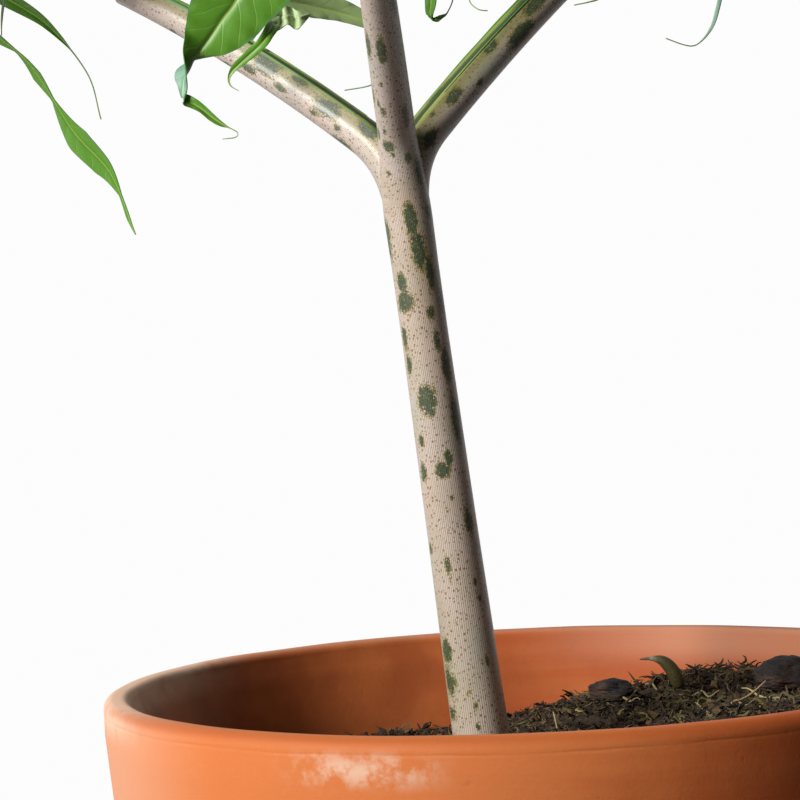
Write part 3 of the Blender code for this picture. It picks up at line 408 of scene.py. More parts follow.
class MixSettings(bpy.types.PropertyGroup):
    """The potting mix and what lies on it."""

    earth: colour_setting("Earth", "Colour of the moist mix", "#35271A")
    dust: colour_setting("Dust", "Colour of its drier crumbs", "#5E472F")
    moss: colour_setting("Moss", "Colour of the dried moss", "#5A5632")
    straw: colour_setting("Straw", "Colour of the pale fibres", "#A08A62")
    crumbs: IntProperty(name="Crumbs", description="How many crumbs lie on the mix", default=5200, min=0)
    strands: IntProperty(name="Moss strands", description="How many strands of moss lie on it", default=5200, min=0)
    fibres: IntProperty(name="Fibres", description="How many pale fibres lie on it", default=34, min=0)


class StalkSettings(bpy.types.PropertyGroup):
    """The skin of the leaf stalk, its arms and its branches."""

    skin: colour_setting("Skin", "Colour between the blotches", "#DACBC1")
    rib: colour_setting("Rib shade", "Colour between the fine ribs", "#A38D7E")
    blotch: colour_setting("Blotches", "Colour of the blotches", "#3B4A36")
    speck: colour_setting("Specks", "Colour of the small specks and the edges of blotches", "#827436")
    green: colour_setting("Upper side", "Colour of the upper side of the arms", "#8A8750")
    ribs: IntProperty(name="Ribs", description="Fine ribs round the stalk", default=80, min=0)


class LeafSettings(bpy.types.PropertyGroup):
    """The leaflets."""

    upper: colour_setting("Upper side", "Colour of the upper side", "#4C7F1C")
    fresh: colour_setting("Fresh green", "Colour of its lighter clouds", "#619A2A")
    under: colour_setting("Underside", "Colour of the underside", "#5E8C78")
    midrib: colour_setting("Midrib", "Colour of the midrib", "#A9C26A")
    thickness: length_setting("Thickness", "Thickness of a blade", 0.00035)
    vein_spacing: length_setting("Vein spacing", "Distance between side veins", 0.0085)


class StageSettings(bpy.types.PropertyGroup):
    """Floor, light and background."""

    key: FloatProperty(name="Key light", description="Power of the light from the left", default=64.0, min=0.0,
                       unit="POWER")
    fill: FloatProperty(name="Fill", description="Strength of the light from the front", default=0.03, min=0.0)
    glow: FloatProperty(name="Glow", description="Strength of the light from behind", default=0.6, min=0.0)
    bounce: FloatProperty(name="Bounce", description="Strength of the light from below left", default=0.3, min=0.0)
    backdrop: FloatProperty(name="Backdrop", description="Brightness of the background", default=0.98, min=0.0)
    floor: colour_setting("Floor", "Colour of the floor", "#E6E3DE")


class PlantSettings(bpy.types.PropertyGroup):
    """All that a user would change."""

    clay: PointerProperty(type=ClaySettings)
    mix: PointerProperty(type=MixSettings)
    stalk: PointerProperty(type=StalkSettings)
    leaf: PointerProperty(type=LeafSettings)
    stage: PointerProperty(type=StageSettings)


# Materials

class Wire:
    """A socket of a finish. Sums and products of wires and numbers add Math nodes."""

    def __init__(self, finish, socket):
        self.finish = finish
        self.socket = socket

    def math(self, operation, *others):
        return self.finish.add("Math", {"operation": operation}, dict(enumerate((self, *others))))

    def flipped(self, operation, other):
        return self.finish.add("Math", {"operation": operation}, {0: other, 1: self})

    def __add__(self, other):
        return self.math("ADD", other)

    def __radd__(self, other):
        return self.math("ADD", other)

    def __sub__(self, other):
        return self.math("SUBTRACT", other)

    def __rsub__(self, other):
        return self.flipped("SUBTRACT", other)

    def __mul__(self, other):
        return self.math("MULTIPLY", other)

    def __rmul__(self, other):
        return self.math("MULTIPLY", other)

    def __truediv__(self, other):
        return self.math("DIVIDE", other)

    def __pow__(self, other):
        return self.math("POWER", other)

    def __abs__(self):
        return self.math("ABSOLUTE")

    def __neg__(self):
        return self.math("MULTIPLY", -1.0)

    def rise(self, low, high):
        """0 below low and 1 above high, smooth between; low may be the greater."""
        settings = {"interpolation_type": "SMOOTHSTEP"}
        return self.finish.add("MapRange", settings, {0: self, 1: low, 2: high})


class Nodes:
    """The nodes of a material or of the world, with one method that adds any of them."""

    def __init__(self, tree):
        self.tree = tree

    def add(self, kind, settings=None, inputs=None, output=0):
        """A node of a kind: its settings first, then the values or links of its sockets."""
        node = self.tree.nodes.new("ShaderNode" + kind)
        for name, value in (settings or {}).items():
            if name == "stops":
                self.set_stops(node.color_ramp.elements, value)
            else:
                setattr(node, name, value)
        for name, value in (inputs or {}).items():
            self.feed(node.inputs[name], value)
        return Wire(self, node.outputs[output])

    def set_stops(self, elements, stops):
        while len(elements) < len(stops):
            elements.new(1.0)
        for element, (place, colour) in zip(elements, stops):
            element.position = place
            element.color = (*colour, 1.0)

    def feed(self, socket, value):
        if isinstance(value, Wire):
            self.tree.links.new(value.socket, socket)
        elif hasattr(value, "__len__") and len(value) == 3 and socket.type == "RGBA":
            socket.default_value = (*value, 1.0)
        else:
            socket.default_value = value

    def mix(self, below, above, share):
        """The colour below, covered by the colour above to a share."""
        return self.add("Mix", {"data_type": "RGBA"}, {0: share, 6: below, 7: above}, output=2)

    def split(self, vector):
        node = self.add("SeparateXYZ", None, {0: vector}).socket.node
        return [Wire(self, socket) for socket in node.outputs]

    def join(self, x, y, z):
        return self.add("CombineXYZ", None, {0: x, 1: y, 2: z})

    def stretched(self, vector, scale):
        return self.add("VectorMath", {"operation": "MULTIPLY"}, {0: vector, 1: scale})

    def clouds(self, vector, scale, detail=3.0, roughness=0.5):
        """Noise from 0 to 1, its clouds one unit over the scale wide."""
        inputs = {"Vector": vector, "Scale": scale, "Detail": detail, "Roughness": roughness}
        return self.add("TexNoise", None, inputs)


class Finish(Nodes):
    """A material in the making."""

    def __init__(self, name, roughness):
        self.material = bpy.data.materials.new(name)
        self.material.use_nodes = True
        super().__init__(self.material.node_tree)
        self.shader = self.tree.nodes["Principled BSDF"]
        self.shader.inputs["Roughness"].default_value = roughness

    def surface(self, colour, roughness=None, height=None, depth=0.001):
        """Sets what the surface shows: its colour, and where given its roughness and its relief in metres."""
        self.feed(self.shader.inputs["Base Color"], colour)
        if roughness is not None:
            self.feed(self.shader.inputs["Roughness"], roughness)
        if height is not None:
            bump = self.add("Bump", None, {"Height": height, "Distance": depth, "Strength": 1.0})
            self.feed(self.shader.inputs["Normal"], bump)
        return self.material


def object_place(finish):
    return finish.add("TexCoord", output="Object")


def clay_finish(settings):
    """Fired clay: cloudy, finely pitted, with lime on the rim and in patches on the front, and with painted light and
    shade: darker clouds to the right, a pale band high on the inner right wall, a pale sheen down the left side and a
    darker front rim edge.
    """
    finish = Finish("clay", 0.75)
    finish.shader.inputs["Specular IOR Level"].default_value = 0.25
    place = object_place(finish)
    x, y, z = finish.split(place)
    clouds = finish.clouds(place, 16.0, 4.0)
    streaks = finish.clouds(finish.stretched(place, (9.0, 9.0, 160.0)), 1.0, 3.0)
    grain = finish.clouds(place, 900.0, 2.0)
    # Painted shade: the darker clouds gather towards the right, the side of the pot away from the light.
    share = (clouds * 0.7 + streaks * 0.3 - x * 2.2).rise(0.30, 0.62)
    colour = finish.mix(tuple(settings.dark), tuple(settings.light), share)
    pits = finish.clouds(place, 260.0, 1.0).rise(0.72, 0.80)
    colour = finish.mix(colour, linear("#7A3A1C"), pits * 0.10)
    colour = finish.mix(colour, linear("#E29A6C"), grain.rise(0.55, 0.80) * 0.12)

    radius = finish.add("VectorMath", {"operation": "LENGTH"}, {0: finish.join(x, y, 0.0)}, output=1)
    below_rim = POT_HEIGHT - z
    # The clay is darker, in clouds, on the inside of the pot.
    inside = radius.rise(RIM_RADIUS - 0.005, RIM_RADIUS - 0.0085)
    inner_clouds = finish.clouds(place, 28.0, 4.0)
    colour = finish.mix(colour, linear("#A9552B"), inside * (0.35 + 0.5 * inner_clouds.rise(0.40, 0.65)))

    rough_edge = finish.clouds(place, 60.0, 5.0, 0.65)
    corner = (-x).rise(0.105, 0.135) * y.rise(-0.09, -0.03)
    lime = corner * below_rim.rise(0.013, 0.002) * rough_edge.rise(0.25, 0.60)
    lip = below_rim.rise(0.0020, 0.0) * (0.35 + 0.65 * rough_edge) * y.rise(-0.10, 0.02)
    # Painted light: a pale band along the top of the inner wall on the right, where its flare catches the light.
    painted_light_band = inside * below_rim.rise(0.020, 0.006) * x.rise(-0.01, 0.07)
    colour = finish.mix(colour, linear("#D69A7A"), painted_light_band * (0.35 + 0.4 * inner_clouds))
    bloom_clouds = finish.clouds(place, 95.0, 6.0, 0.7)
    shown = (x + 0.058).math("ABSOLUTE").rise(0.030, 0.006) * (below_rim - 0.0095).math("ABSOLUTE").rise(0.0075, 0.001)
    lower = (x + 0.020).math("ABSOLUTE").rise(0.055, 0.015) * (below_rim - 0.034).math("ABSOLUTE").rise(0.014, 0.004)
    front = (-y).rise(0.09, 0.13)
    patches = front * (shown * 1.3 + lower * 0.8) * bloom_clouds.rise(0.40, 0.62)
    # Painted sheen: the lime colour also covers the left side of the pot for its pale lit edge; cover mixes this with
    # the real lime.
    side = (-x).rise(0.10, 0.15) * 0.35
    cover = (lime * 0.7 + lip * 0.30 + patches * 0.50 + side).math("MINIMUM", 0.8)
    colour = finish.mix(colour, tuple(settings.bloom), cover)

    # Inside the pot the clay darkens further, in clouds, from 22 to 40 mm below the rim.
    deep_darkening = inside * below_rim.rise(0.022, 0.040) * finish.clouds(place, 35.0, 4.0).rise(0.35, 0.75)
    colour = finish.mix(colour, linear("#6A3018"), deep_darkening * 0.45)
    # Painted shade: the rounded top edge of the rim at the front is darkened against the light it catches.
    edge = radius.rise(RIM_RADIUS - 0.0045, RIM_RADIUS - 0.001) * below_rim.rise(0.004, 0.001) * y.rise(0.0, -0.08)
    colour = finish.mix(colour, linear("#A8501F"), edge * 0.6)
    height = grain * 0.04 + streaks * 0.12 + finish.clouds(place, 300.0, 3.0) * 0.06 - pits * 0.03
    return finish.surface(colour, 0.66 + 0.2 * cover, height, 0.0010)


def earth_finish(settings):
    """Moist potting mix, dark with drier crumbs."""
    finish = Finish("earth", 0.95)
    place = object_place(finish)
    clouds = finish.clouds(place, 140.0, 5.0, 0.7)
    colour = finish.mix(tuple(settings.earth), tuple(settings.dust), clouds.rise(0.45, 0.72))
    return finish.surface(colour, height=finish.clouds(place, 500.0, 4.0, 0.7), depth=0.0012)


def litter_finish(name, stops, rough):
    """Litter whose pieces each have a tint of their own."""
    finish = Finish(name, rough)
    tint = finish.add("Attribute", {"attribute_name": "tint"}, output="Fac")
    place = object_place(finish)
    wander = finish.clouds(place, 260.0, 3.0)
    share = tint * 0.85 + wander * 0.3 - 0.07
    colour = finish.add("ValToRGB", {"stops": stops}, {0: share})
    return finish.surface(colour, height=finish.clouds(place, 1400.0, 2.0), depth=0.0003)


def bark_finish():
    """Pine bark: reddish brown over near black, in layers."""
    finish = Finish("bark", 0.8)
    place = object_place(finish)
    layers = finish.clouds(finish.stretched(place, (120.0, 120.0, 520.0)), 1.0, 5.0, 0.65)
    clouds = finish.clouds(place, 90.0, 4.0)
    colour = finish.mix(linear("#140E0B"), linear("#4A2C1E"), (layers * 0.5 + clouds * 0.5).rise(0.46, 0.70))
    return finish.surface(colour, 0.9 - 0.3 * clouds, layers + clouds, 0.0009)


def tuber_finish():
    """The tuber's corky skin with rings of old leaf scars."""
    finish = Finish("tuber_skin", 0.85)
    place = object_place(finish)
    rings = finish.clouds(finish.stretched(place, (20.0, 20.0, 300.0)), 1.0, 4.0)
    cork = finish.clouds(place, 180.0, 4.0)
    colour = finish.mix(linear("#3D2A1C"), linear("#7A5A3E"), (rings * 0.5 + cork * 0.5).rise(0.35, 0.65))
    return finish.surface(colour, height=rings + cork, depth=0.001)


def dots(finish, place, scale, size, chance):
    """Round dots on the flattened skin, each in a cell of its own and in a share of the cells only."""
    inputs = {"Vector": place, "Scale": scale}
    away = finish.add("TexVoronoi", {"voronoi_dimensions": "2D"}, inputs)
    draw = finish.split(finish.add("TexVoronoi", {"voronoi_dimensions": "2D"}, inputs, output="Color"))[0]
    return (away + draw * size / chance * 0.5).rise(size, 0.5 * size) * draw.rise(chance, chance - 0.05)


def stalk_finish(settings):
    """The stalk's skin: fine ribs, blotches that break up into cells, and dots; green where it is grooved, with painted
    shade down the groove.
    """
    finish = Finish("mottled_skin", 0.3)
    finish.shader.inputs["Specular IOR Level"].default_value = 0.60
    around = finish.add("Attribute", {"attribute_name": "around"}, output="Vector")
    turn_cos, turn_sin, along = finish.split(around)
    marks = finish.add("Attribute", {"attribute_name": "marks"}, output="Vector")
    groove, blotch, radius = finish.split(marks)
    skin_place = finish.join(turn_cos * radius, turn_sin * radius, along * 0.8)
    long_place = finish.join(turn_cos * radius, turn_sin * radius, along * 0.5)
    from_below = (-turn_sin).math("ARCTAN2", -turn_cos)
    flat_place = finish.join(from_below * radius, along * 0.85, 0.0)

    angle = turn_sin.math("ARCTAN2", turn_cos)
    wander = finish.clouds(long_place, 160.0, 2.0)
    rib = (angle * float(settings.ribs) + (wander - 0.5) * 3.0).math("COSINE")
    rib_light = rib.rise(-0.9, 0.3)
    colour = finish.mix(tuple(settings.rib), tuple(settings.skin), 0.10 + 0.90 * rib_light)
    warm = finish.clouds(long_place, 55.0, 3.0)
    colour = finish.mix(colour, linear("#D9B3A6"), warm.rise(0.50, 0.72) * 0.40)
    colour = finish.mix(colour, linear("#B7BDB0"), warm.rise(0.48, 0.28) * 0.5)
    grain = finish.clouds(skin_place, 1500.0, 2.0)
    colour = finish.mix(colour, linear("#97826F"), grain.rise(0.54, 0.74) * 0.20)

    upward = turn_cos * groove
    top = (upward + (finish.clouds(long_place, 90.0, 3.0) - 0.5) * 0.8).rise(-0.30, 0.70)
    colour = finish.mix(colour, tuple(settings.green), top * 0.85)

    ochre = tuple(settings.speck)
    patchy = finish.clouds(long_place, 110.0, 2.0)
    dot_cover = dots(finish, flat_place, 620.0, 0.34, 0.70) * patchy.rise(0.34, 0.48)
    dot_cover = dot_cover + dots(finish, flat_place, 1100.0, 0.36, 0.35) * patchy.rise(0.60, 0.42)
    colour = finish.mix(colour, linear("#786032"), dot_cover.math("MINIMUM", 1.0) * 0.9)

    cells = {"Vector": flat_place, "Scale": 2300.0}
    settings_2d = {"voronoi_dimensions": "2D"}
    draw = finish.split(finish.add("TexVoronoi", settings_2d, cells, output="Color"))[0]
    ragged = finish.clouds(long_place, 420.0, 3.0, 0.6)
    field = blotch + (ragged - 0.5) * 0.9
    core = (field.rise(-0.10, 0.40) - draw * 0.85).rise(0.00, 0.10)
    rim = (field.rise(-0.38, 0.20) - draw * 1.0).rise(0.02, 0.12)
    colour = finish.mix(colour, ochre, rim * 0.80)
    blotch_colour = finish.mix(tuple(settings.blotch), linear("#5F6B52"), grain.rise(0.42, 0.72) * 0.6)
    colour = finish.mix(colour, blotch_colour, core * 0.92)
    flecks = dots(finish, flat_place, 1150.0, 0.40, 0.45)
    colour = finish.mix(colour, linear("#96925C"), core * flecks * 0.75)

    lip = (abs(angle) - LIP_ANGLE).math("ABSOLUTE").rise(0.13, 0.05) * groove.rise(0.5, 0.9)
    colour = finish.mix(colour, linear("#93A94C"), lip * 0.7)
    # Painted shade: dark green down the channel of the groove.
    channel = abs(angle).rise(0.50, 0.30) * groove.rise(0.3, 0.8)
    colour = finish.mix(colour, linear("#36502A"), channel * 0.9)
    height = rib_light * 0.35 + grain * 0.3 + wander * 0.4
    return finish.surface(colour, 0.24 + 0.16 * wander, height, 0.00010)


def blade_finish(name, base, cloud, midrib, vein, vein_share, rough):
    """One side of a blade: clouded green with a pale midrib and side veins that run to the margin."""
    finish = Finish(name, rough)
    leaf = finish.add("Attribute", {"attribute_name": "leaf"}, output="Vector")
    side, along, half = finish.split(leaf)
    tint = finish.add("Attribute", {"attribute_name": "tint"}, output="Fac")
    out = abs(side) * half
    spacing = bpy.context.scene.plant.leaf.vein_spacing
    flat = finish.join(side * half, along, tint)
    wander = finish.clouds(flat, 60.0, 2.0)
    phase = (along - out * VEIN_SLOPE) / spacing + (wander - 0.5) * 1.2
    ridge = abs(phase.math("FRACT") - 0.5)
    strength = out.rise(0.0, 0.002) * abs(side).rise(1.0, 0.80)
    side_vein = ridge.rise(0.070, 0.010) * strength
    net = finish.add("TexVoronoi", {"feature": "DISTANCE_TO_EDGE"}, {"Vector": flat, "Scale": 420.0})
    net_line = net.rise(0.10, 0.02) * 0.4
    clouds = finish.clouds(flat, 45.0, 4.0)
    colour = finish.mix(base, cloud, (clouds * 0.6 + tint * 0.5).rise(0.30, 0.80))
    # Painted sheen: tints above 1 pale the blade towards grey-green, standing in for the gloss it reflects.
    colour = finish.mix(colour, linear("#BFD096"), tint.rise(1.0, 2.0) * 0.85)
    colour = finish.mix(colour, vein, (side_vein * vein_share + net_line * vein_share * 0.5))
    edge = abs(side).rise(0.90, 0.99)
    colour = finish.mix(colour, linear("#5F8F6A"), edge * 0.45)
    rib_width = half * 0.02 + 0.00025
    rib = (out / rib_width).rise(1.5, 0.55)
    colour = finish.mix(colour, midrib, rib * 0.75)
    puff = ridge.rise(0.0, 0.5) * strength
    height = puff * 0.6 - side_vein * 0.3 - net_line * 0.06 + finish.clouds(flat, 900.0, 2.0) * 0.05
    return finish.surface(colour, rough + 0.14 * clouds - 0.07, height, 0.00012)


def floor_finish(colour):
    finish = Finish("floor", 0.9)
    place = object_place(finish)
    tone = finish.clouds(place, 3.0, 2.0)
    shade = tuple(0.97 * c for c in colour)
    return finish.surface(finish.mix(shade, tuple(colour), tone))


# Modelling

def deselect_all():
    if bpy.context.object and bpy.context.object.mode != "OBJECT":
        bpy.ops.object.mode_set(mode="OBJECT")
    bpy.ops.object.select_all(action="DESELECT")


def named_new(name):
    """The object that an operator has just added, by its new name."""
    obj = bpy.context.object
    obj.name = obj.data.name = name
    return obj


def select_only(*objects):
    deselect_all()
    for obj in objects:
        obj.select_set(True)
    bpy.context.view_layer.objects.active = objects[0]


def apply_modifier(obj, kind, **settings):
    """Adds a modifier with its settings and applies it."""
    select_only(obj)
    made = obj.modifiers.new(kind.lower(), kind)
    for name, value in settings.items():
        setattr(made, name, value)
    bpy.ops.object.modifier_apply(modifier=made.name)


def join_objects(objects, name):
    """The objects as one, with the given name."""
    select_only(*objects)
    if len(objects) > 1:
        bpy.ops.object.join()
    return named_new(name)


# Edges sharper than this stay sharp
CREASE_ANGLE = math.radians(60)


def dress(obj, material, slot, *nodes):
    """Gives a finished piece its material and its place on the part."""
    if material is not None:
        obj.data.materials.clear()
        obj.data.materials.append(material)
    select_only(obj)
    bpy.ops.object.shade_smooth_by_angle(angle=CREASE_ANGLE)
    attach(obj, BODY)
    if nodes:
        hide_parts(*nodes)
    return obj


def arc(centre_r, centre_z, radius, start_deg, end_deg, steps):
    """Points (r, z) along an arc of a turned profile."""
    points = []
    for k in range(steps + 1):
        angle = math.radians(start_deg + (end_deg - start_deg) * k / steps)
        points.append((centre_r + radius * math.cos(angle), centre_z + radius * math.sin(angle)))
    return points


def straight(start, end, spacing):
    """Points (r, z) on the way from one point to another, without the two ends."""
    count = max(1, round(math.dist(start, end) / spacing))
    return [(start[0] + (end[0] - start[0]) * k / count, start[1] + (end[1] - start[1]) * k / count)
            for k in range(1, count)]


def turned(name, profile, steps):
    """A profile of (r, z) points, drawn edge by edge and spun once round the Z axis."""
    deselect_all()
    bpy.ops.mesh.primitive_plane_add(size=0.01)
    obj = named_new(name)
    bpy.ops.object.mode_set(mode="EDIT")
    bpy.ops.mesh.merge(type="CENTER")
    bpy.ops.transform.translate(value=(profile[0][0], 0.0, profile[0][1]))
    for (r, z), (next_r, next_z) in zip(profile, profile[1:]):
        bpy.ops.mesh.extrude_region_move(TRANSFORM_OT_translate={"value": (next_r - r, 0.0, next_z - z)})
    bpy.ops.mesh.select_all(action="SELECT")
    bpy.ops.mesh.spin(steps=steps, angle=math.tau, center=(0.0, 0.0, 0.0), axis=(0.0, 0.0, 1.0))
    bpy.ops.mesh.select_all(action="SELECT")
    bpy.ops.mesh.remove_doubles(threshold=0.00001)
    bpy.ops.mesh.normals_make_consistent(inside=False)
    bpy.ops.object.mode_set(mode="OBJECT")
    return obj


def flat_grid(name, across, along):
    """A flat grid of faces, from 0 to 1 each way."""
    deselect_all()
    bpy.ops.mesh.primitive_grid_add(x_subdivisions=across, y_subdivisions=along, size=1.0)
    obj = named_new(name)
    bpy.ops.object.mode_set(mode="EDIT")
    bpy.ops.transform.translate(value=(0.5, 0.5, 0.0))
    bpy.ops.object.mode_set(mode="OBJECT")
    return obj


def smooth_step(x):
    x = min(1.0, max(0.0, x))
    return x * x * (3 - 2 * x)


def interpolate(table, at):
    """The value at a place in a table of (place, value), in any order."""
    rows = sorted(table)
    if at <= rows[0][0]:
        return rows[0][1]
    for (low, first), (high, second) in zip(rows, rows[1:]):
        if at <= high:
            return first + (second - first) * (at - low) / (high - low)
    return rows[-1][1]


# Clay pot

def inner_radius(z):
    """Radius of the pot's inner wall at a height."""
    for (r_low, z_low), (r_high, z_high) in zip(INNER_WALL, INNER_WALL[1:]):
        if z <= z_high:
            return r_low + (r_high - r_low) * (z - z_low) / (z_high - z_low)
    return INNER_WALL[-1][0]


def pot_profile(seam_z):
    """The section of the clay: out along the foot, up the outside, over the rim and down the inside."""
    rim_outer = RIM_RADIUS - EDGE_ROUND
    rim_inner = RIM_RADIUS - RIM_THICKNESS + EDGE_ROUND
    rim_z = POT_HEIGHT - EDGE_ROUND
    flare = (inner_radius(POT_HEIGHT - FLARE_DEPTH) - 0.0012, POT_HEIGHT - FLARE_DEPTH)
    corners = [(DRAIN_RADIUS + 0.0015, 0.0)]
    corners += arc(FOOT_RADIUS - 0.003, 0.003, 0.003, -90, 0, 5)
    corners += arc(BODY_TOP_RADIUS + 0.002, COLLAR_FOOT - 0.002, 0.002, 180, 90, 4)
    corners += arc(COLLAR_FOOT_RADIUS - 0.003, COLLAR_FOOT + 0.003, 0.003, -90, 0, 6)
    corners += [(RIM_RADIUS, POT_HEIGHT - RIM_UPRIGHT)]
    corners += [(RIM_RADIUS, seam_z + 0.0003 * step) for step in range(-5, 6)]
    corners += arc(rim_outer, rim_z, EDGE_ROUND, 0, 90, 8)
    corners += arc(rim_inner, rim_z, EDGE_ROUND, 90, 180, 8)
    corners += [flare]
    corners += reversed(INNER_WALL[:-1])
    corners += [(DRAIN_RADIUS + 0.0015, FLOOR_THICKNESS), (DRAIN_RADIUS, FLOOR_THICKNESS - 0.0015)]
    corners += [(DRAIN_RADIUS, 0.0015)]
    profile = []
    for start, end in zip(corners, corners[1:] + corners[:1]):
        profile.append(start)
        profile += straight(start, end, 0.0045)
    return profile + [corners[0]]


def wear_clay(obj, seam_z, seam_depth):
    """Hand-made unevenness, and the wandering line under the folded edge of the rim."""
    for vert in obj.data.vertices:
        x, y, z = vert.co
        radius = math.hypot(x, y)
        out = Vector((x, y, 0.0)) / radius
        wander = noise.noise(out * 5.0) * 0.0006 + noise.noise(out * 22.0) * 0.0002
        push = 0.00025 * noise.noise(vert.co * 22.0) + 0.00010 * noise.noise(vert.co * 90.0)
        if radius > RIM_RADIUS - 0.001 and abs(z - seam_z) < 0.0016:
            away = (z - seam_z) / 0.0004
            faint = 0.55 + 0.9 * noise.noise(out * 7.0 + Vector((3.0, 0.0, 0.0)))
            push -= seam_depth * max(0.0, faint) * math.exp(-away * away)
            push += 0.3 * seam_depth * smooth_step(away)
            vert.co.z += wander * (1.0 - abs(z - seam_z) / 0.0016)
        if z > POT_HEIGHT - 0.003:
            vert.co.z += 0.0003 * noise.noise(out * 4.0)
        if 0.001 < z:
            vert.co += out * push


class PLANT_OT_clay_pot(bpy.types.Operator):
    """Turn the clay pot and give it its worn finish"""

    bl_idname = "plant.clay_pot"
    bl_label = "Clay pot"

    def execute(self, context):
        settings = context.scene.plant.clay
        seam_z = POT_HEIGHT - settings.seam_drop
        pot = turned("clay_pot", pot_profile(seam_z), settings.steps)
        wear_clay(pot, seam_z, settings.seam_depth)
        dress(pot, clay_finish(settings), "terracotta", "pot")
        return {"FINISHED"}


# Potting mix

def open_soil(x, y):
    """Height of the potting mix where nothing lies on it: it slopes up to the right."""
    z = POT_HEIGHT - SOIL_DEPTH_BELOW_RIM + SOIL_RISE * smooth_step((x + 0.03) / 0.12)
    for heap_x, heap_y, radius, height in SOIL_HEAPS:
        z += height * math.exp(-((x - heap_x) ** 2 + (y - heap_y) ** 2) / radius ** 2)
    return z + SOIL_BUMP_HEIGHT * noise.noise(Vector((x, y, 0.0)) / SOIL_BUMP_LENGTH)


CHIP_BEDS = [(x, y, length, open_soil(x, y)) for x, y, length, _, _, _ in BARK_CHIPS.values()]


def soil_height(x, y):
    """Height of the potting mix, flat under each piece of bark."""
    z = open_soil(x, y)
    for chip_x, chip_y, length, bed in CHIP_BEDS:
        away = math.hypot(x - chip_x, y - chip_y) - 0.5 * length
        z += (bed - z) * (1 - smooth_step((away - BARK_PAD) / BARK_PAD_SLOPE))
    return z


def stalk_point(below):
    """The point on the stalk's axis this far below the fork."""
    return FORK + Vector((math.sin(STALK_LEAN), 0.0, -math.cos(STALK_LEAN))) * below


def stalk_radius(below):
    return interpolate(STALK_GIRTH, below)


def stalk_clearance(x, y):
    """Distance on the soil from the skin of the stalk."""
    foot = stalk_point(0.205)
    return math.hypot(x - foot.x, y - foot.y) - stalk_radius(0.205)


SOIL_RING_STEP = 0.0015
SOIL_STEPS = 256


def crumbly(x, y):
    """The fine relief of the mix, which fades out beside the stalk and under the pieces of bark."""
    place = Vector((x, y, 0.0))
    relief = 0.0030 * noise.noise(place * 140.0) + 0.0009 * noise.noise(place * 400.0) - 0.0016
    free = smooth_step(stalk_clearance(x, y) / 0.004)
    for chip_x, chip_y, length, _ in CHIP_BEDS:
        free *= smooth_step((math.hypot(x - chip_x, y - chip_y) - 0.5 * length) / 0.004)
    return relief * free


class PLANT_OT_potting_mix(bpy.types.Operator):
    """Fill the pot with potting mix, heaped to the right and back"""

    bl_idname = "plant.potting_mix"
    bl_label = "Potting mix"

    def execute(self, context):
        edge = inner_radius(POT_HEIGHT - SOIL_DEPTH_BELOW_RIM)
        rings = round(edge / SOIL_RING_STEP)
        top = 2 * POT_HEIGHT
        profile = [(edge * k / rings, top) for k in range(rings + 1)]
        profile += [(r - SEAT_GAP, z + SEAT_GAP) for r, z in reversed(INNER_WALL[:2])]
        profile += [(0.0, FLOOR_THICKNESS + SEAT_GAP)]
        mix = turned("potting_mix", profile, SOIL_STEPS)
        for vert in mix.data.vertices:
            if vert.co.z < POT_HEIGHT:
                continue
            x, y, _ = vert.co
            height = soil_height(x, y)
            share = math.hypot(x, y) / edge
            widen = 1 + (inner_radius(height) - SEAT_GAP - edge) / edge * smooth_step(share)
            vert.co = (x * widen, y * widen, soil_height(x * widen, y * widen) + crumbly(x, y))
        hole_low, hole_high = stalk_point(TUBER_BELOW_FORK + 0.004), stalk_point(0.165)
        self.cut_hole(mix, hole_low, hole_high)
        dress(mix, earth_finish(context.scene.plant.mix), "potting_mix", "soil")
        return {"FINISHED"}

    def cut_hole(self, mix, low, high):
        """The hole that the stalk stands in."""
        deselect_all()
        tilt = (high - low).to_track_quat("Z", "Y").to_euler()
        bpy.ops.mesh.primitive_cone_add(
            vertices=48, radius1=stalk_radius(0.28) + SEAT_GAP, radius2=stalk_radius(0.165) + SEAT_GAP,
            depth=(high - low).length, location=(low + high) / 2, rotation=tilt)
        cutter = named_new("stalk_hole")
        apply_modifier(mix, "BOOLEAN", operation="DIFFERENCE", object=cutter)
        bpy.data.objects.remove(cutter)


def shape_data(obj):
    """The vertices and faces of a shape to be copied. The shape itself goes."""
    vertices = [vert.co.copy() for vert in obj.data.vertices]
    faces = [tuple(face.vertices) for face in obj.data.polygons]
    bpy.data.objects.remove(obj)
    return vertices, faces


def scattered(name, shapes, places):
    """One mesh of copies of shapes. A place is (number of the shape, matrix, tint)."""
    vertices, faces, tints = [], [], []
    for number, matrix, tint in places:
        shape_vertices, shape_faces = shapes[number]
        first = len(vertices)
        vertices += [matrix @ vert for vert in shape_vertices]
        faces += [tuple(first + k for k in face) for face in shape_faces]
        tints += [tint] * len(shape_vertices)
    mesh = bpy.data.meshes.new(name)
    mesh.from_pydata(vertices, [], faces)
    mesh.attributes.new("tint", "FLOAT", "POINT").data.foreach_set("value", tints)
    obj = bpy.data.objects.new(name, mesh)
    bpy.context.scene.collection.objects.link(obj)
    return obj


def crumb_shape(number):
    """A lumpy grain about one unit across."""
    deselect_all()
    bpy.ops.mesh.primitive_ico_sphere_add(subdivisions=1, radius=0.5)
    obj = named_new("crumb")
    for vert in obj.data.vertices:
        vert.co *= 1 + 0.9 * noise.noise(vert.co * 2.4 + Vector((7.0 * number, 0.0, 0.0)))
    return shape_data(obj)


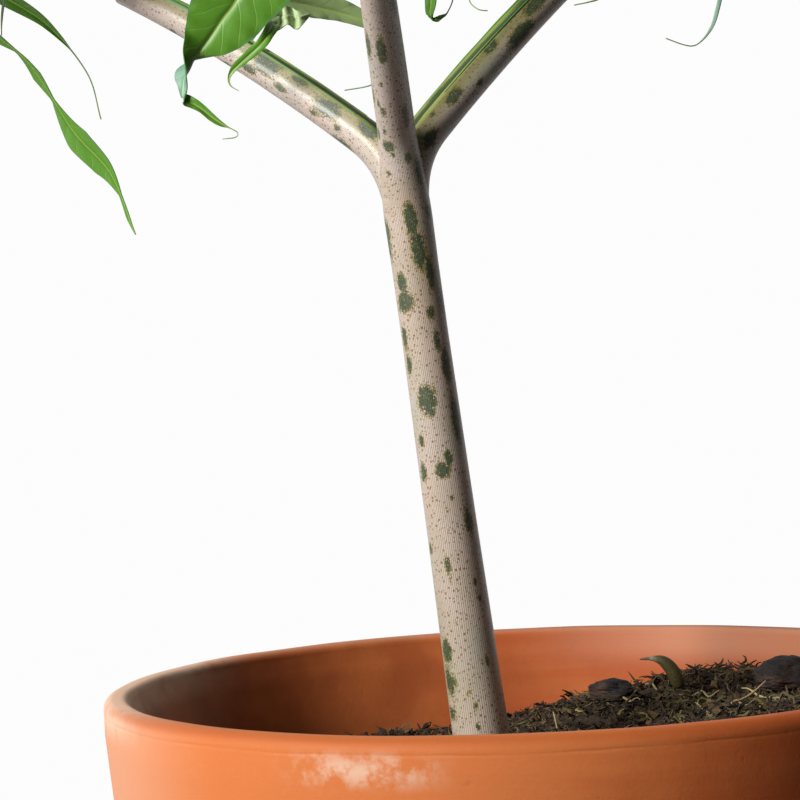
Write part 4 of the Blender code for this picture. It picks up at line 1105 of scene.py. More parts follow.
def bent_tube(name, points, radii, sides):
    """A tube through points, closed at both ends, made from a flat grid."""
    obj = flat_grid(name, sides, len(points) - 1)
    turn = Vector((0.3, 0.2, 1.0)).normalized()
    rows = []
    for point, ahead, radius in zip(points, directions(points), radii):
        turn = (turn - turn.dot(ahead) * ahead).normalized()
        rows.append((point, turn, ahead.cross(turn), radius))
    for vert in obj.data.vertices:
        point, first, second, radius = rows[round(vert.co.y * (len(rows) - 1))]
        angle = math.tau * vert.co.x
        vert.co = point + (first * math.cos(angle) + second * math.sin(angle)) * radius
    close_tube(obj)
    return obj


def close_tube(obj):
    """Joins the long edges of a rolled grid and fills its two ends."""
    select_only(obj)
    bpy.ops.object.mode_set(mode="EDIT")
    bpy.ops.mesh.select_all(action="SELECT")
    bpy.ops.mesh.remove_doubles(threshold=0.000001)
    bpy.ops.mesh.select_all(action="SELECT")
    bpy.ops.mesh.fill_holes(sides=0)
    bpy.ops.mesh.select_all(action="SELECT")
    bpy.ops.mesh.normals_make_consistent(inside=False)
    bpy.ops.object.mode_set(mode="OBJECT")


def strand_shape(number, sides, steps, thickness):
    """A bent strand one unit long that tapers to both ends."""
    points, radii = [], []
    for k in range(steps + 1):
        t = k / steps
        curl = Vector((7.3 * number, 0.0, 1.7 * t))
        points.append(Vector((t - 0.5, 0.45 * noise.noise(curl), 0.30 * noise.noise(curl + Vector((0, 5, 0))))))
        radii.append(thickness * (0.25 + 0.75 * math.sin(math.pi * min(0.95, max(0.05, t)))))
    return shape_data(bent_tube("strand", points, radii, sides))


def on_soil(chance, share_right):
    """A random place on the mix, more often at the right and back for a greater share."""
    while True:
        radius = 0.132 * math.sqrt(chance.random())
        angle = chance.uniform(0, math.tau)
        x, y = radius * math.cos(angle), radius * math.sin(angle)
        liking = smooth_step((x + 0.5 * y + 0.05) / 0.11)
        if stalk_clearance(x, y) < 0.0015 or chance.random() > 1 - share_right + share_right * liking:
            continue
        if any(math.hypot(x - chip_x, y - chip_y) < 0.36 * length for chip_x, chip_y, length, _ in CHIP_BEDS):
            continue
        return x, y


def lying(chance, x, y, lift, size, tilt):
    """A matrix that sets a copy down at a place on the mix, turned at random and tilted up to an angle."""
    spot = Vector((x, y, soil_height(x, y) + crumbly(x, y) + lift))
    turn = Matrix.Rotation(chance.uniform(0, math.tau), 4, "Z")
    lean = Matrix.Rotation(math.radians(chance.uniform(-tilt, tilt)), 4, "Y")
    roll = Matrix.Rotation(chance.uniform(0, math.tau), 4, "X")
    return Matrix.Translation(spot) @ turn @ lean @ roll @ Matrix.Diagonal((*size, 1.0))


# Pale straws that show on the mix: their two ends and their thickness
STRAWS = (
    ((0.004, 0.010, 0.233), (0.000, 0.012, 0.244), 0.0010),
    ((0.011, 0.050, 0.237), (0.010, 0.052, 0.243), 0.0008),
    ((0.071, 0.010, 0.249), (0.086, 0.026, 0.254), 0.0010),
    ((-0.030, 0.012, 0.231), (-0.008, 0.010, 0.234), 0.0009),
    ((-0.044, 0.008, 0.230), (-0.034, 0.020, 0.233), 0.0010),
)
# A sprout in the litter, from its foot to its withered tip, and its radii
SPROUT = (
    (0.0590, 0.062, 0.2480), (0.0575, 0.060, 0.2535), (0.0545, 0.060, 0.2580), (0.0515, 0.060, 0.2600),
    (0.0480, 0.061, 0.2602), (0.0440, 0.062, 0.2598),
)
SPROUT_RADII = (0.0028, 0.0030, 0.0027, 0.0018, 0.0006, 0.0004)


class PLANT_OT_litter(bpy.types.Operator):
    """Lay crumbs, moss, fibres and a sprout on the potting mix"""

    bl_idname = "plant.litter"
    bl_label = "Litter"

    def execute(self, context):
        settings = context.scene.plant.mix
        earth, dust = tuple(settings.earth), tuple(settings.dust)
        moss, straw = tuple(settings.moss), tuple(settings.straw)
        chance = random.Random(5)

        crumbs = [crumb_shape(k) for k in range(5)]
        places = []
        for _ in range(settings.crumbs):
            x, y = on_soil(chance, 0.35)
            size = 0.0008 + 0.0036 * chance.random() ** 3
            flat = (size * chance.uniform(0.8, 1.6), size * chance.uniform(0.6, 1.1), size * chance.uniform(0.4, 0.8))
            places.append((chance.randrange(5), lying(chance, x, y, 0.2 * size, flat, 40), chance.random()))
        obj = scattered("mix_crumbs", crumbs, places)
        stops = ((0.0, linear("#17110C")), (0.4, earth), (0.7, dust), (0.9, linear("#6B5637")),
                 (1.0, linear("#94805C")))
        dress(obj, litter_finish("crumbs", stops, 0.95), "potting_mix")
        obj.data.shade_flat()

        strands = [strand_shape(k, 3, 5, 0.070) for k in range(8)]
        places = []
        for _ in range(settings.strands):
            x, y = on_soil(chance, 0.75)
            length = chance.uniform(0.003, 0.0095)
            lift = 0.0026 * chance.random() ** 1.8 * smooth_step((x + 0.03) / 0.07)
            size = (length, length, length * chance.uniform(0.6, 1.0))
            tint = min(1.0, max(0.0, chance.gauss(0.38, 0.24)))
            places.append((chance.randrange(8), lying(chance, x, y, lift, size, 36), tint))
        obj = scattered("moss_strands", strands, places)
        stops = ((0.0, linear("#17110C")), (0.3, earth), (0.5, linear("#54452C")), (0.7, moss),
                 (0.85, linear("#817A40")), (1.0, straw))
        dress(obj, litter_finish("moss", stops, 0.9), "potting_mix")

        fibres = [strand_shape(20 + k, 5, 9, 0.022) for k in range(6)]
        places = []
        for _ in range(settings.fibres):
            x, y = on_soil(chance, 0.4)
            if math.hypot(x, y) > 0.118:
                continue
            length = chance.uniform(0.010, 0.024)
            places.append((chance.randrange(6), lying(chance, x, y, 0.003, (length,) * 3, 14), chance.random()))
        straws = scattered("fibres", fibres, places)
        made = [straws] + [self.straw(k, *row) for k, row in enumerate(STRAWS)]
        obj = join_objects(made, "straws")
        stops = ((0.0, linear("#5E4A30")), (0.5, straw), (1.0, linear("#BCAA80")))
        dress(obj, litter_finish("straw", stops, 0.7), "potting_mix")

        sprout = bent_tube("sprout", [Vector(p) for p in SPROUT], SPROUT_RADII, 12)
        apply_modifier(sprout, "SUBSURF", levels=2, render_levels=2)
        tints = [1.0 - smooth_step((vert.co.x - 0.047) / 0.007) for vert in sprout.data.vertices]
        sprout.data.attributes.new("tint", "FLOAT", "POINT").data.foreach_set("value", tints)
        stops = ((0.0, linear("#57522C")), (0.5, linear("#6E6640")), (0.75, linear("#B8A78A")), (1.0, linear("#5A4232")))
        dress(sprout, litter_finish("sprout_skin", stops, 0.6), "potting_mix")
        return {"FINISHED"}

    def straw(self, number, start, end, thickness):
        """A straw between two points, a little bent."""
        start, end = Vector(start), Vector(end)
        points, radii = [], []
        for k in range(9):
            t = k / 8
            bow = 0.06 * (end - start).length * math.sin(math.pi * t) * (1 if number % 2 else -1)
            points.append(start.lerp(end, t) + Vector((0.0, 0.0, bow)))
            radii.append(0.5 * thickness * (0.5 + 0.5 * math.sin(math.pi * (0.1 + 0.8 * t))))
        obj = bent_tube(f"straw_{number}", points, radii, 6)
        tints = [0.55 + 0.06 * (number % 4)] * len(obj.data.vertices)
        obj.data.attributes.new("tint", "FLOAT", "POINT").data.foreach_set("value", tints)
        return obj


class PLANT_OT_bark_pieces(bpy.types.Operator):
    """Lay the pieces of bark on the potting mix"""

    bl_idname = "plant.bark_pieces"
    bl_label = "Bark pieces"

    def execute(self, context):
        finish = bark_finish()
        for name, (x, y, length, width, height, turn) in BARK_CHIPS.items():
            deselect_all()
            bpy.ops.mesh.primitive_ico_sphere_add(subdivisions=6, radius=0.5)
            chip = named_new("piece_of_" + name)
            for vert in chip.data.vertices:
                base = vert.co.copy()
                rough = 1 + BARK_ROUGHNESS * noise.noise(base * 3.1 + Vector((x, y, 0)) * 100)
                fine = noise.fractal(Vector((base.x * 3.0, base.y * 6.0, base.z * 12.0)) + Vector((x, y, 0)) * 60,
                                     1.0, 2.0, 4)
                place = Vector((base.x * length, base.y * width, base.z * height)) * (rough - 0.05 + 0.07 * fine)
                place.z = max(place.z, -BARK_FLAT * height)
                vert.co = place
            low = min(vert.co.z for vert in chip.data.vertices)
            place = Matrix.Translation((x, y, soil_height(x, y) + SEAT_GAP - low))
            chip.data.transform(place @ Matrix.Rotation(math.radians(turn), 4, "Z"))
            dress(chip, finish, "bark", name)
        return {"FINISHED"}


# Stems

def directions(path):
    """Unit tangents at the points of a path."""
    ends = [path[0]] + list(path) + [path[-1]]
    return [(ends[k + 2] - ends[k]).normalized() for k in range(len(path))]


def ring_share(angle, groove):
    """Radius of a stem's section as a share of its girth: a groove with raised lips on the upper side."""
    angle = abs(math.remainder(angle, math.tau))
    dip = 0.34 * math.exp(-(angle / 0.30) ** 2)
    lip = 0.10 * math.exp(-((angle - 0.62) / 0.25) ** 2)
    return 1 + groove * (lip - dip)


class Stem:
    """A stem that sets out from a point on a heading and an elevation, and flattens as it goes.

    Angles are in degrees and the rates, flatten and swing, in degrees per metre.
    """

    def __init__(self, start, azimuth, elevation, length, flatten, swing, girth):
        self.azimuth, self.elevation = azimuth, elevation
        self.length, self.flatten, self.swing = length, flatten, swing
        self.girth = girth
        self.steps = 60
        self.points = [start.copy()]
        for k in range(self.steps):
            middle = (k + 0.5) / self.steps * length
            self.points.append(self.points[-1] + self.heading(middle) * (length / self.steps))

    def azimuth_at(self, distance):
        return math.radians(self.azimuth + self.swing * distance)

    def elevation_at(self, distance):
        return math.radians(self.elevation - self.flatten * distance)

    def heading(self, distance):
        around, up = self.azimuth_at(distance), self.elevation_at(distance)
        return Vector((math.cos(up) * math.cos(around), math.cos(up) * math.sin(around), math.sin(up)))

    def at(self, distance):
        place = min(max(distance / self.length, 0.0), 1.0) * self.steps
        k = min(int(place), self.steps - 1)
        return self.points[k].lerp(self.points[k + 1], place - k)

    def radius(self, distance):
        return interpolate(self.girth, distance)


def arm_stem(name):
    arm = ARMS[name]
    return Stem(FORK, arm["azimuth"], arm["elevation"], arm["length"], arm["flatten"], 0.0, ARM_GIRTH)


def branch_stem(name, arm, number):
    spread, lift, flatten, size, _ = BRANCHES[name][number]
    start = arm.length - BRANCH_START
    return Stem(arm.at(start), arm.azimuth + spread, math.degrees(arm.elevation_at(start)) + lift,
                BRANCH_LENGTH * size, flatten, -BRANCH_RETURN * spread / BRANCH_LENGTH, BRANCH_GIRTH)


def blotch_at(blotches, along, degrees, radius):
    """How far inside the nearest blotch a place on a stem is: its strength at its middle, and less by 1 at its edge."""
    best = -1.0
    for place, turn, length, width, strength in blotches:
        far = (along - place) / (0.5 * length)
        if abs(far) > 2.5:
            continue
        wide = math.radians(math.remainder(degrees - turn, 360.0)) * radius / (0.5 * width)
        best = max(best, strength - math.hypot(far, wide))
    return best


def random_blotches(chance, start, end, low_deg, high_deg, spacing):
    """Blotches at random along a stretch of stem, between two angles round it."""
    made = []
    place = start + chance.uniform(0, spacing)
    while place < end:
        length = chance.uniform(0.004, 0.017)
        made.append((place, chance.uniform(low_deg, high_deg), length, chance.uniform(0.3, 0.5) * length + 0.0012,
                     chance.uniform(0.5, 1.0)))
        place += chance.uniform(0.4, 1.6) * spacing
    return made


def side_blotches(chance, name, start, end):
    """The blotches of an arm: those that show, and random ones round the rest of it."""
    low, high = SIDE_FACES.get(name, (0.0, 0.0))
    return list(SIDE_BLOTCHES.get(name, ())) + random_blotches(chance, start, end, high, low + 360.0, 0.0045)


def stem_tube(name, rings, azimuth, sides, blotches):
    """A stem from a grid rolled up round its rings: (point, radius, groove, distance along).

    Each corner keeps what the skin needs: the cosine and sine of its place round the stem and its distance
    along it, and the groove there, how far inside a blotch it is, and the radius.
    """
    obj = flat_grid(name, sides, len(rings) - 1)
    rows = []
    side = Vector((-math.sin(azimuth), math.cos(azimuth), 0.0))
    points = [ring[0] for ring in rings]
    for (point, radius, groove, along), ahead in zip(rings, directions(points)):
        flat = (side - side.dot(ahead) * ahead).normalized()
        rows.append((point, ahead.cross(flat), flat, radius, groove, along))
    around, marks = {}, {}
    for vert in obj.data.vertices:
        point, up, flat, radius, groove, along = rows[round(vert.co.y * (len(rings) - 1))]
        angle = math.tau * vert.co.x
        spread = blotch_at(blotches, along, math.degrees(angle), radius)
        around[vert.index] = (math.cos(angle), math.sin(angle), along)
        marks[vert.index] = (groove, spread, radius)
        vert.co = point + (up * math.cos(angle) + flat * math.sin(angle)) * radius * ring_share(angle, groove)
    for attribute, values in (("around", around), ("marks", marks)):
        kept = obj.data.attributes.new(attribute, "FLOAT_VECTOR", "CORNER")
        for loop in obj.data.loops:
            kept.data[loop.index].vector = values[loop.vertex_index]
    close_tube(obj)
    return obj


def united(base, others, name):
    """One body of a piece and others that run into it."""
    for other in others:
        apply_modifier(base, "BOOLEAN", operation="UNION", object=other, solver="MANIFOLD")
        bpy.data.objects.remove(other)
    base.name = base.data.name = name
    return base


STALK_RING_STEP = 0.0014
STALK_SIDES = 96
# How far the bare arms run on inside the outer ones, so that no seam shows
ARM_LAP = 0.0004


def arm_rings(name, end):
    """The rings of an arm, from where it leaves the stalk on a curve to a distance along it."""
    stem = arm_stem(name)
    low, high = stalk_point(BEND_REACH), stem.at(BEND_REACH)
    start = stalk_radius(BEND_REACH) * (1.0 if name == "front" else SIDE_ARM_SHARE)
    rings = []
    steps = round(2 * BEND_REACH / STALK_RING_STEP)
    for k in range(steps + 1):
        t = k / steps
        point = low * (1 - t) ** 2 + FORK * 2 * t * (1 - t) + high * t ** 2
        radius = start + (stem.radius(BEND_REACH) - start) * smooth_step(t)
        rings.append((point, radius, interpolate(((0.4, 0.0), (0.6, 0.25), (0.8, 0.6), (1.0, 0.9)), t),
                      BEND_REACH * (2 * t - 1)))
    steps = round((end - BEND_REACH) / STALK_RING_STEP)
    for k in range(1, steps + 1):
        distance = BEND_REACH + (end - BEND_REACH) * k / steps
        groove = 0.9 + 0.1 * smooth_step((distance - BEND_REACH) / 0.011)
        rings.append((stem.at(distance), stem.radius(distance), groove, distance))
    return rings


def stalk_rings():
    """The rings of the stalk, from the tuber up to where the arms leave it."""
    steps = round((TUBER_BELOW_FORK - BEND_REACH) / STALK_RING_STEP)
    rings = []
    for k in range(steps):
        below = TUBER_BELOW_FORK - SEAT_GAP + (BEND_REACH - TUBER_BELOW_FORK) * k / steps
        rings.append((stalk_point(below), stalk_radius(below), 0.0, -below))
    return rings


class PLANT_OT_leaf_stalk(bpy.types.Operator):
    """Grow the mottled stalk and the bare stretches of its three arms"""

    bl_idname = "plant.leaf_stalk"
    bl_label = "Leaf stalk"

    def execute(self, context):
        chance = random.Random(3)
        front = [(-place, 180.0 - turn, length, width, strength)
                 for place, turn, length, width, strength in STALK_BLOTCHES]
        front += random_blotches(chance, -0.26, -0.205, 0, 360, 0.004)
        front += random_blotches(chance, -0.20, 0.08, -88, 88, 0.007)
        tubes = []
        for name, arm in ARMS.items():
            rings = arm_rings(name, arm["bare"] + ARM_LAP)
            if name == "front":
                rings = stalk_rings() + rings
                blotches = front
            else:
                blotches = side_blotches(chance, name, -0.01, arm["bare"])
            azimuth = math.radians(arm["azimuth"])
            tubes.append(stem_tube("tube_" + name, rings, azimuth, STALK_SIDES, blotches))
        stalk = united(tubes[0], tubes[1:], "mottled_stalk")
        dress(stalk, stalk_finish(context.scene.plant.stalk), "stalk_skin", "leaf_stalk")
        return {"FINISHED"}


class PLANT_OT_leaf_stems(bpy.types.Operator):
    """Grow the outer arms of the leaf and the two branches of each"""

    bl_idname = "plant.leaf_stems"
    bl_label = "Arms and branches"

    def execute(self, context):
        chance = random.Random(4)
        finish = bpy.data.materials["mottled_skin"]
        for name in ARMS:
            arm = arm_stem(name)
            bare = ARMS[name]["bare"]
            steps = round((arm.length - bare) / STALK_RING_STEP)
            places = [bare + (arm.length - bare) * k / steps for k in range(steps + 1)]
            rings = [(arm.at(d), arm.radius(d), 1.0, d) for d in places]
            blotches = side_blotches(chance, name, bare, arm.length)
            tubes = [stem_tube("arm", rings, math.radians(arm.azimuth), STALK_SIDES, blotches)]
            for number in (0, 1):
                branch = branch_stem(name, arm, number)
                places = [branch.length * k / 90 for k in range(91)]
                rings = [(branch.at(d), branch.radius(d), BRANCH_GROOVE, arm.length + d) for d in places]
                blotches = random_blotches(chance, arm.length, arm.length + 0.12, -170, 170, 0.008)
                tubes.append(stem_tube("branch", rings, math.radians(branch.azimuth), 32, blotches))
            stems = united(tubes[0], tubes[1:], "stems_" + name)
            dress(stems, finish, "stalk_skin", "leaf_division_" + name)
        return {"FINISHED"}


# Leaflets

def blade_share(s):
    """Half-width of a leaflet at a share of its length: a lance-shaped blade drawn out into a drip tip."""
    u = min(s / DRIP_TIP_START, 1.0)
    blade = 2.30 * u ** 0.85 * (1 - u) ** 1.05
    base = 0.10 * (1 - smooth_step(s / 0.12))
    return max(blade, base) + DRIP_TIP_SHARE * min(s * 2, 1) * (1 - s) ** 0.7


class Leaflet:
    """A leaflet's run: its midrib, and the direction of its blade along it."""

    def __init__(self, points, sides, half_width, phase, shares=None):
        self.points, self.sides = points, sides
        self.half_width, self.phase, self.shares = half_width, phase, shares


def drooping_leaflet(root, azimuth, elevation, length, half_width, droop, hook, roll, phase, steps):
    """A leaflet that arches over under its weight and hooks sideways at its tip. Angles are in degrees."""
    points, sides, place = [], [], root.copy()
    for k in range(RUN_STEPS + 1):
        s = k / RUN_STEPS
        around = math.radians(azimuth + hook * (max(0.0, s - HOOK_START) / (1 - HOOK_START)) ** 2)
        up = math.radians(elevation - droop * s ** 1.25)
        ahead = Vector((math.cos(up) * math.cos(around), math.cos(up) * math.sin(around), math.sin(up)))
        if k * steps % RUN_STEPS == 0:
            flat = Vector((-math.sin(around), math.cos(around), 0.0))
            turn = Matrix.Rotation(math.radians(roll * min(1.0, 3 * s)), 3, ahead)
            points.append(place.copy())
            sides.append(turn @ flat)
        place += ahead * (length / RUN_STEPS)
    return Leaflet(points, sides, half_width, phase)


def routed_leaflet(route, turns, half_width, phase, shares, steps):
    """A leaflet along a route of points. Its blade starts level and rolls by the angles, in degrees."""
    curve = smooth_route([Vector(point) for point in route], ROUTE_STEPS)
    lengths, flats = [0.0], []
    ahead = (curve[1] - curve[0]).normalized()
    flat = Vector((-ahead.y, ahead.x, 0.0))
    for a, b in zip(curve, curve[1:]):
        lengths.append(lengths[-1] + (b - a).length)
        ahead = (b - a).normalized()
        flat = (flat - flat.dot(ahead) * ahead).normalized()
        flats.append(flat)
    points, sides = [], []
    for step in range(steps + 1):
        place = step / steps * lengths[-1]
        k = next((i for i in range(1, len(lengths)) if lengths[i] >= place - 1e-9), len(lengths) - 1)
        share = (place - lengths[k - 1]) / (lengths[k] - lengths[k - 1])
        points.append(curve[k - 1].lerp(curve[k], share))
        ahead = (curve[k] - curve[k - 1]).normalized()
        roll = even_interpolate(turns, (k - 1 + share) / (len(curve) - 1))
        sides.append(Matrix.Rotation(math.radians(roll), 3, ahead) @ flats[k - 1])
    return Leaflet(points, sides, half_width, phase, shares)


def even_interpolate(values, share):
    """The value at a share of a row of evenly spaced values."""
    place = min(max(share, 0.0), 1.0) * (len(values) - 1)
    low = min(int(place), len(values) - 2)
    return values[low] + (values[low + 1] - values[low]) * (place - low)


def smooth_route(points, steps):
    """A Catmull-Rom curve through the points, with some steps from each to the next."""
    ends = [2 * points[0] - points[1]] + points + [2 * points[-1] - points[-2]]
    curve = []
    for a, b, c, d in zip(ends, ends[1:], ends[2:], ends[3:]):
        for k in range(steps):
            t = k / steps
            curve.append(0.5 * (2 * b + (c - a) * t + (2 * a - 5 * b + 4 * c - d) * t ** 2
                                + (3 * b - a - 3 * c + d) * t ** 3))
    curve.append(points[-1].copy())
    return curve


def curve_room(points, sides):
    """The widest half-width at each point that does not overlap on the inside of a sideways bend."""
    room = [1.0]
    for before, point, after, side in zip(points, points[1:], points[2:], sides[1:]):
        first, second = point - before, after - point
        bend = abs((second.normalized() - first.normalized()).dot(side))
        room.append(BEND_SHARE * min(first.length, second.length) / max(bend, 1e-6))
    return room + [1.0]


def branch_leaflets(name, number, branch, chance, steps):
    """The leaflets of one branch, in alternate places along it and one at its tip."""
    made = []
    _, _, _, size, limp = BRANCHES[name][number]
    for order, (place, side, spread, length, half_width) in enumerate(BRANCH_LEAFLETS):
        place *= size
        azimuth = math.degrees(branch.azimuth_at(place)) + side * (spread + chance.uniform(-6, 6))
        leaflet = drooping_leaflet(
            branch.at(place), azimuth, math.degrees(branch.elevation_at(place)) * 0.5 + chance.uniform(8, 20),
            length * size * chance.uniform(0.94, 1.06), half_width * size, limp * chance.uniform(70, 96),
            side * chance.uniform(-70, 30), side * chance.uniform(8, 22), chance.uniform(0, math.tau), steps)
        if (name, number, order) not in LEFT_OUT:
            made.append(leaflet)
    place, length, half_width = (value * size for value in TIP_LEAFLET)
    made.append(drooping_leaflet(
        branch.at(place), math.degrees(branch.azimuth_at(place)) + chance.uniform(-5, 5),
        math.degrees(branch.elevation_at(place)) + 6, length, half_width, limp * chance.uniform(66, 88),
        chance.uniform(-60, 60), chance.uniform(-12, 12), chance.uniform(0, math.tau), steps))
    return made


def blade_widths(leaflet):
    """Half-width at each step of a leaflet's run."""
    steps = len(leaflet.points) - 1
    if leaflet.shares:
        return [max(leaflet.half_width * interpolate(leaflet.shares, k / steps), THREAD_HALF_WIDTH)
                for k in range(steps + 1)]
    marks = [round(share * steps) for share in ROOM_PLACES]
    room = curve_room([leaflet.points[k] for k in marks], [leaflet.sides[k] for k in marks])
    most = list(zip(marks, room))
    return [max(min(leaflet.half_width * blade_share(k / steps), interpolate(most, k)), THREAD_HALF_WIDTH)
            for k in range(steps + 1)]


def vein_relief(a, half, along):
    """Height of the puffs between the side veins, and of the crease along the midrib."""
    out = abs(a)
    spacing = bpy.context.scene.plant.leaf.vein_spacing
    puff = math.cos(math.tau * (along - VEIN_SLOPE * out * half) / spacing)
    return (-0.00016 * puff * out * (1 - out) * min(1.0, half / 0.006)
            - 0.0003 * math.exp(-(out * half / 0.0007) ** 2))


def blade_lift(a, s, half, phase, along):
    """Height of the blade over its midrib at a share across it, from -1 to 1."""
    out = abs(a)
    turn = math.tau * MARGIN_WAVES * s + phase + (MARGIN_LAG if a < 0 else 0.0)
    lift = half * (BLADE_FOLD * out + MARGIN_WAVE_SHARE * math.sin(turn) * out ** 1.5)
    lift += half * 0.05 * math.sin(3.1 * turn + 1.0) * out ** 3
    lift += half * 0.10 * out * (1 - out)
    return lift + vein_relief(a, half, along)


def drawn_lift(a, s, half, along):
    """Height of a drawn blade over the way to its margin: a slight belly and a ripple along the margin."""
    out = abs(a)
    ripple = 0.04 * math.sin(900.0 * along + (MARGIN_LAG if a < 0 else 0.0)) * out ** 3
    return half * (0.12 * out * (1 - out) + ripple) + vein_relief(a, half, along)


def blade(name, rows, across, lift_at, tint):
    """A blade bent from a flat grid, given its thickness, and its underside in the second material.

    A row is (point of the midrib, way to the left margin, way to the right margin).
    """
    steps = len(rows) - 1
    obj = flat_grid(name, across, steps)
    points = [row[0] for row in rows]
    aheads, alongs = directions(points), [0.0]
    for before, after in zip(points, points[1:]):
        alongs.append(alongs[-1] + (after - before).length)
    leaf = []
    for vert in obj.data.vertices:
        k = round(vert.co.y * steps)
        point, left, right = rows[k]
        t = 1 - 2 * vert.co.x
        a = math.copysign(abs(t) ** 1.25, t)
        reach = left if a > 0 else right
        half = max(reach.length, THREAD_HALF_WIDTH)
        normal = aheads[k].cross(left.normalized() if a > 0 else -right.normalized()).normalized()
        vert.co = point + reach * abs(a) + normal * lift_at(a, vert.co.y, half, alongs[k])
        leaf.append((a, alongs[k], half))
    kept = obj.data.attributes.new("leaf", "FLOAT_VECTOR", "POINT")
    kept.data.foreach_set("vector", [value for row in leaf for value in row])
    tints = obj.data.attributes.new("tint", "FLOAT", "POINT")
    tints.data.foreach_set("value", [tint] * len(leaf))
    obj.data.materials.append(bpy.data.materials["leaf_upper"])
    obj.data.materials.append(bpy.data.materials["leaf_under"])
    thickness = bpy.context.scene.plant.leaf.thickness
    apply_modifier(obj, "SOLIDIFY", thickness=thickness, offset=0.0, material_offset=1)
    return obj


def even_rows(points, sides, widths):
    """The rows of a blade that is as wide to both sides of its midrib."""
    rows = []
    for point, ahead, side, half in zip(points, directions(points), sides, widths):
        reach = (side - side.dot(ahead) * ahead).normalized() * half
        rows.append((point, reach, -reach))
    return rows


def leaflet_blade(name, leaflet, across, tint):
    rows = even_rows(leaflet.points, leaflet.sides, blade_widths(leaflet))
    return blade(name, rows, across, lambda a, s, half, along: blade_lift(a, s, half, leaflet.phase, along), tint)


def drawn_blade(name, drawn, across, tint):
    """A blade through drawn rows, in millimetres."""
    midrib = smooth_route([Vector(row[0]) / 1000 for row in drawn], DRAWN_STEPS)
    left, right = (smooth_route([Vector(row[margin]) / 1000 for row in drawn], DRAWN_STEPS) for margin in (1, 2))
    return blade(name, list(zip(midrib, left, right)), across, drawn_lift, tint)


def wing_blade(name, branch):
    """The narrow wing of leaf along a branch, on its upper side."""
    steps = 60
    points, sides, widths = [], [], []
    for k in range(steps + 1):
        place = branch.length * (WING_START + (1 - WING_START) * k / steps)
        around = branch.azimuth_at(place)
        side = Vector((-math.sin(around), math.cos(around), 0.0))
        points.append(branch.at(place) + branch.heading(place).cross(side) * WING_LIFT)
        sides.append(side)
        ripple = 1 + 0.12 * math.sin(place * 240.0)
        widths.append(interpolate(WING_HALF_WIDTHS, place) * ripple)
    return blade(name, even_rows(points, sides, widths), 8,
                 lambda a, s, half, along: half * BLADE_FOLD * abs(a), 0.5)


def arm_wing(name, arm, side, start, low_width, high_width, lean):
    """A narrow blade that stands on one lip of an arm's groove and widens outwards."""
    steps = 60
    turn, tilt = side * LIP_ANGLE, side * math.radians(lean)
    points, sides, widths = [], [], []
    for k in range(steps + 1):
        place = start + (arm.length - start) * k / steps
        flat = Vector((-math.sin(arm.azimuth_at(place)), math.cos(arm.azimuth_at(place)), 0.0))
        up = arm.heading(place).cross(flat)
        lip = (up * math.cos(turn) + flat * math.sin(turn)) * arm.radius(place) * ring_share(turn, 1.0)
        ahead = up * math.cos(tilt) + flat * math.sin(tilt)
        width = low_width + (high_width - low_width) * (k / steps) ** 1.2
        points.append(arm.at(place) + lip + ahead * (0.5 * width - WING_ROOT))
        sides.append(ahead * side)
        widths.append(0.5 * width * (1 + 0.10 * math.sin(place * 300.0)) + WING_ROOT)
    return blade(name, even_rows(points, sides, widths), 6, lambda a, s, half, along: 0.0, 0.6)


LEAFLET_STEPS = 60
LEAFLET_ACROSS = 12
HANGING_STEPS = 110
HANGING_ACROSS = 20
DRAWN_ACROSS = 24


class PLANT_OT_leaflets(bpy.types.Operator):
    """Grow the leaflets and the wings of each branch"""

    bl_idname = "plant.leaflets"
    bl_label = "Leaflets"

    def execute(self, context):
        settings = context.scene.plant.leaf
        midrib = tuple(settings.midrib)
        blade_finish("leaf_upper", tuple(settings.upper), tuple(settings.fresh), midrib, linear("#7FA94A"), 0.30, 0.40)
        blade_finish("leaf_under", tuple(settings.under), linear("#6E9A7C"), linear("#A9C48E"),
                     linear("#8DB095"), 0.22, 0.5)
        chance = random.Random(RANDOM_SEED)
        tints = random.Random(2)
        for name in ARMS:
            arm = arm_stem(name)
            branches = [branch_stem(name, arm, number) for number in (0, 1)]
            made = []
            for number, branch in enumerate(branches):
                made.append(wing_blade("wing", branch))
                for leaflet in branch_leaflets(name, number, branch, chance, LEAFLET_STEPS):
                    made.append(leaflet_blade("leaflet", leaflet, LEAFLET_ACROSS, tints.random()))
            leaflets = join_objects(made, "leaflets_" + name)
            dress(leaflets, None, "leaf_green", "leaf_division_" + name)
        return {"FINISHED"}


class PLANT_OT_hanging_leaflets(bpy.types.Operator):
    """Hang the leaflets that show where the leaf opens, and set the wings on the arms"""

    bl_idname = "plant.hanging_leaflets"
    bl_label = "Hanging leaflets"

    def execute(self, context):
        tints = random.Random(8)
        for name, rows in HANGING_LEAFLETS.items():
            arm = arm_stem(name)
            for order, (number, place, route, turns, half_width, shares) in enumerate(rows):
                stem = arm if number is None else branch_stem(name, arm, number)
                route = (tuple(stem.at(place)),) + route
                leaflet = routed_leaflet(route, turns, half_width, 0.7 * order, shares, HANGING_STEPS)
                obj = leaflet_blade(f"hanging_leaflet_{name}_{order}", leaflet, HANGING_ACROSS, tints.random())
                dress(obj, None, "leaf_green", "leaf_division_" + name)
        for title, (name, tint, rows) in DRAWN_LEAFLETS.items():
            obj = drawn_blade(title, rows, DRAWN_ACROSS, tint)
            dress(obj, None, "leaf_green", "leaf_division_" + name)
        for name, rows in ARM_WINGS.items():
            made = [arm_wing("arm_wing", arm_stem(name), *row) for row in rows]
            dress(join_objects(made, "wings_" + name), None, "leaf_green", "leaf_division_" + name)
        return {"FINISHED"}


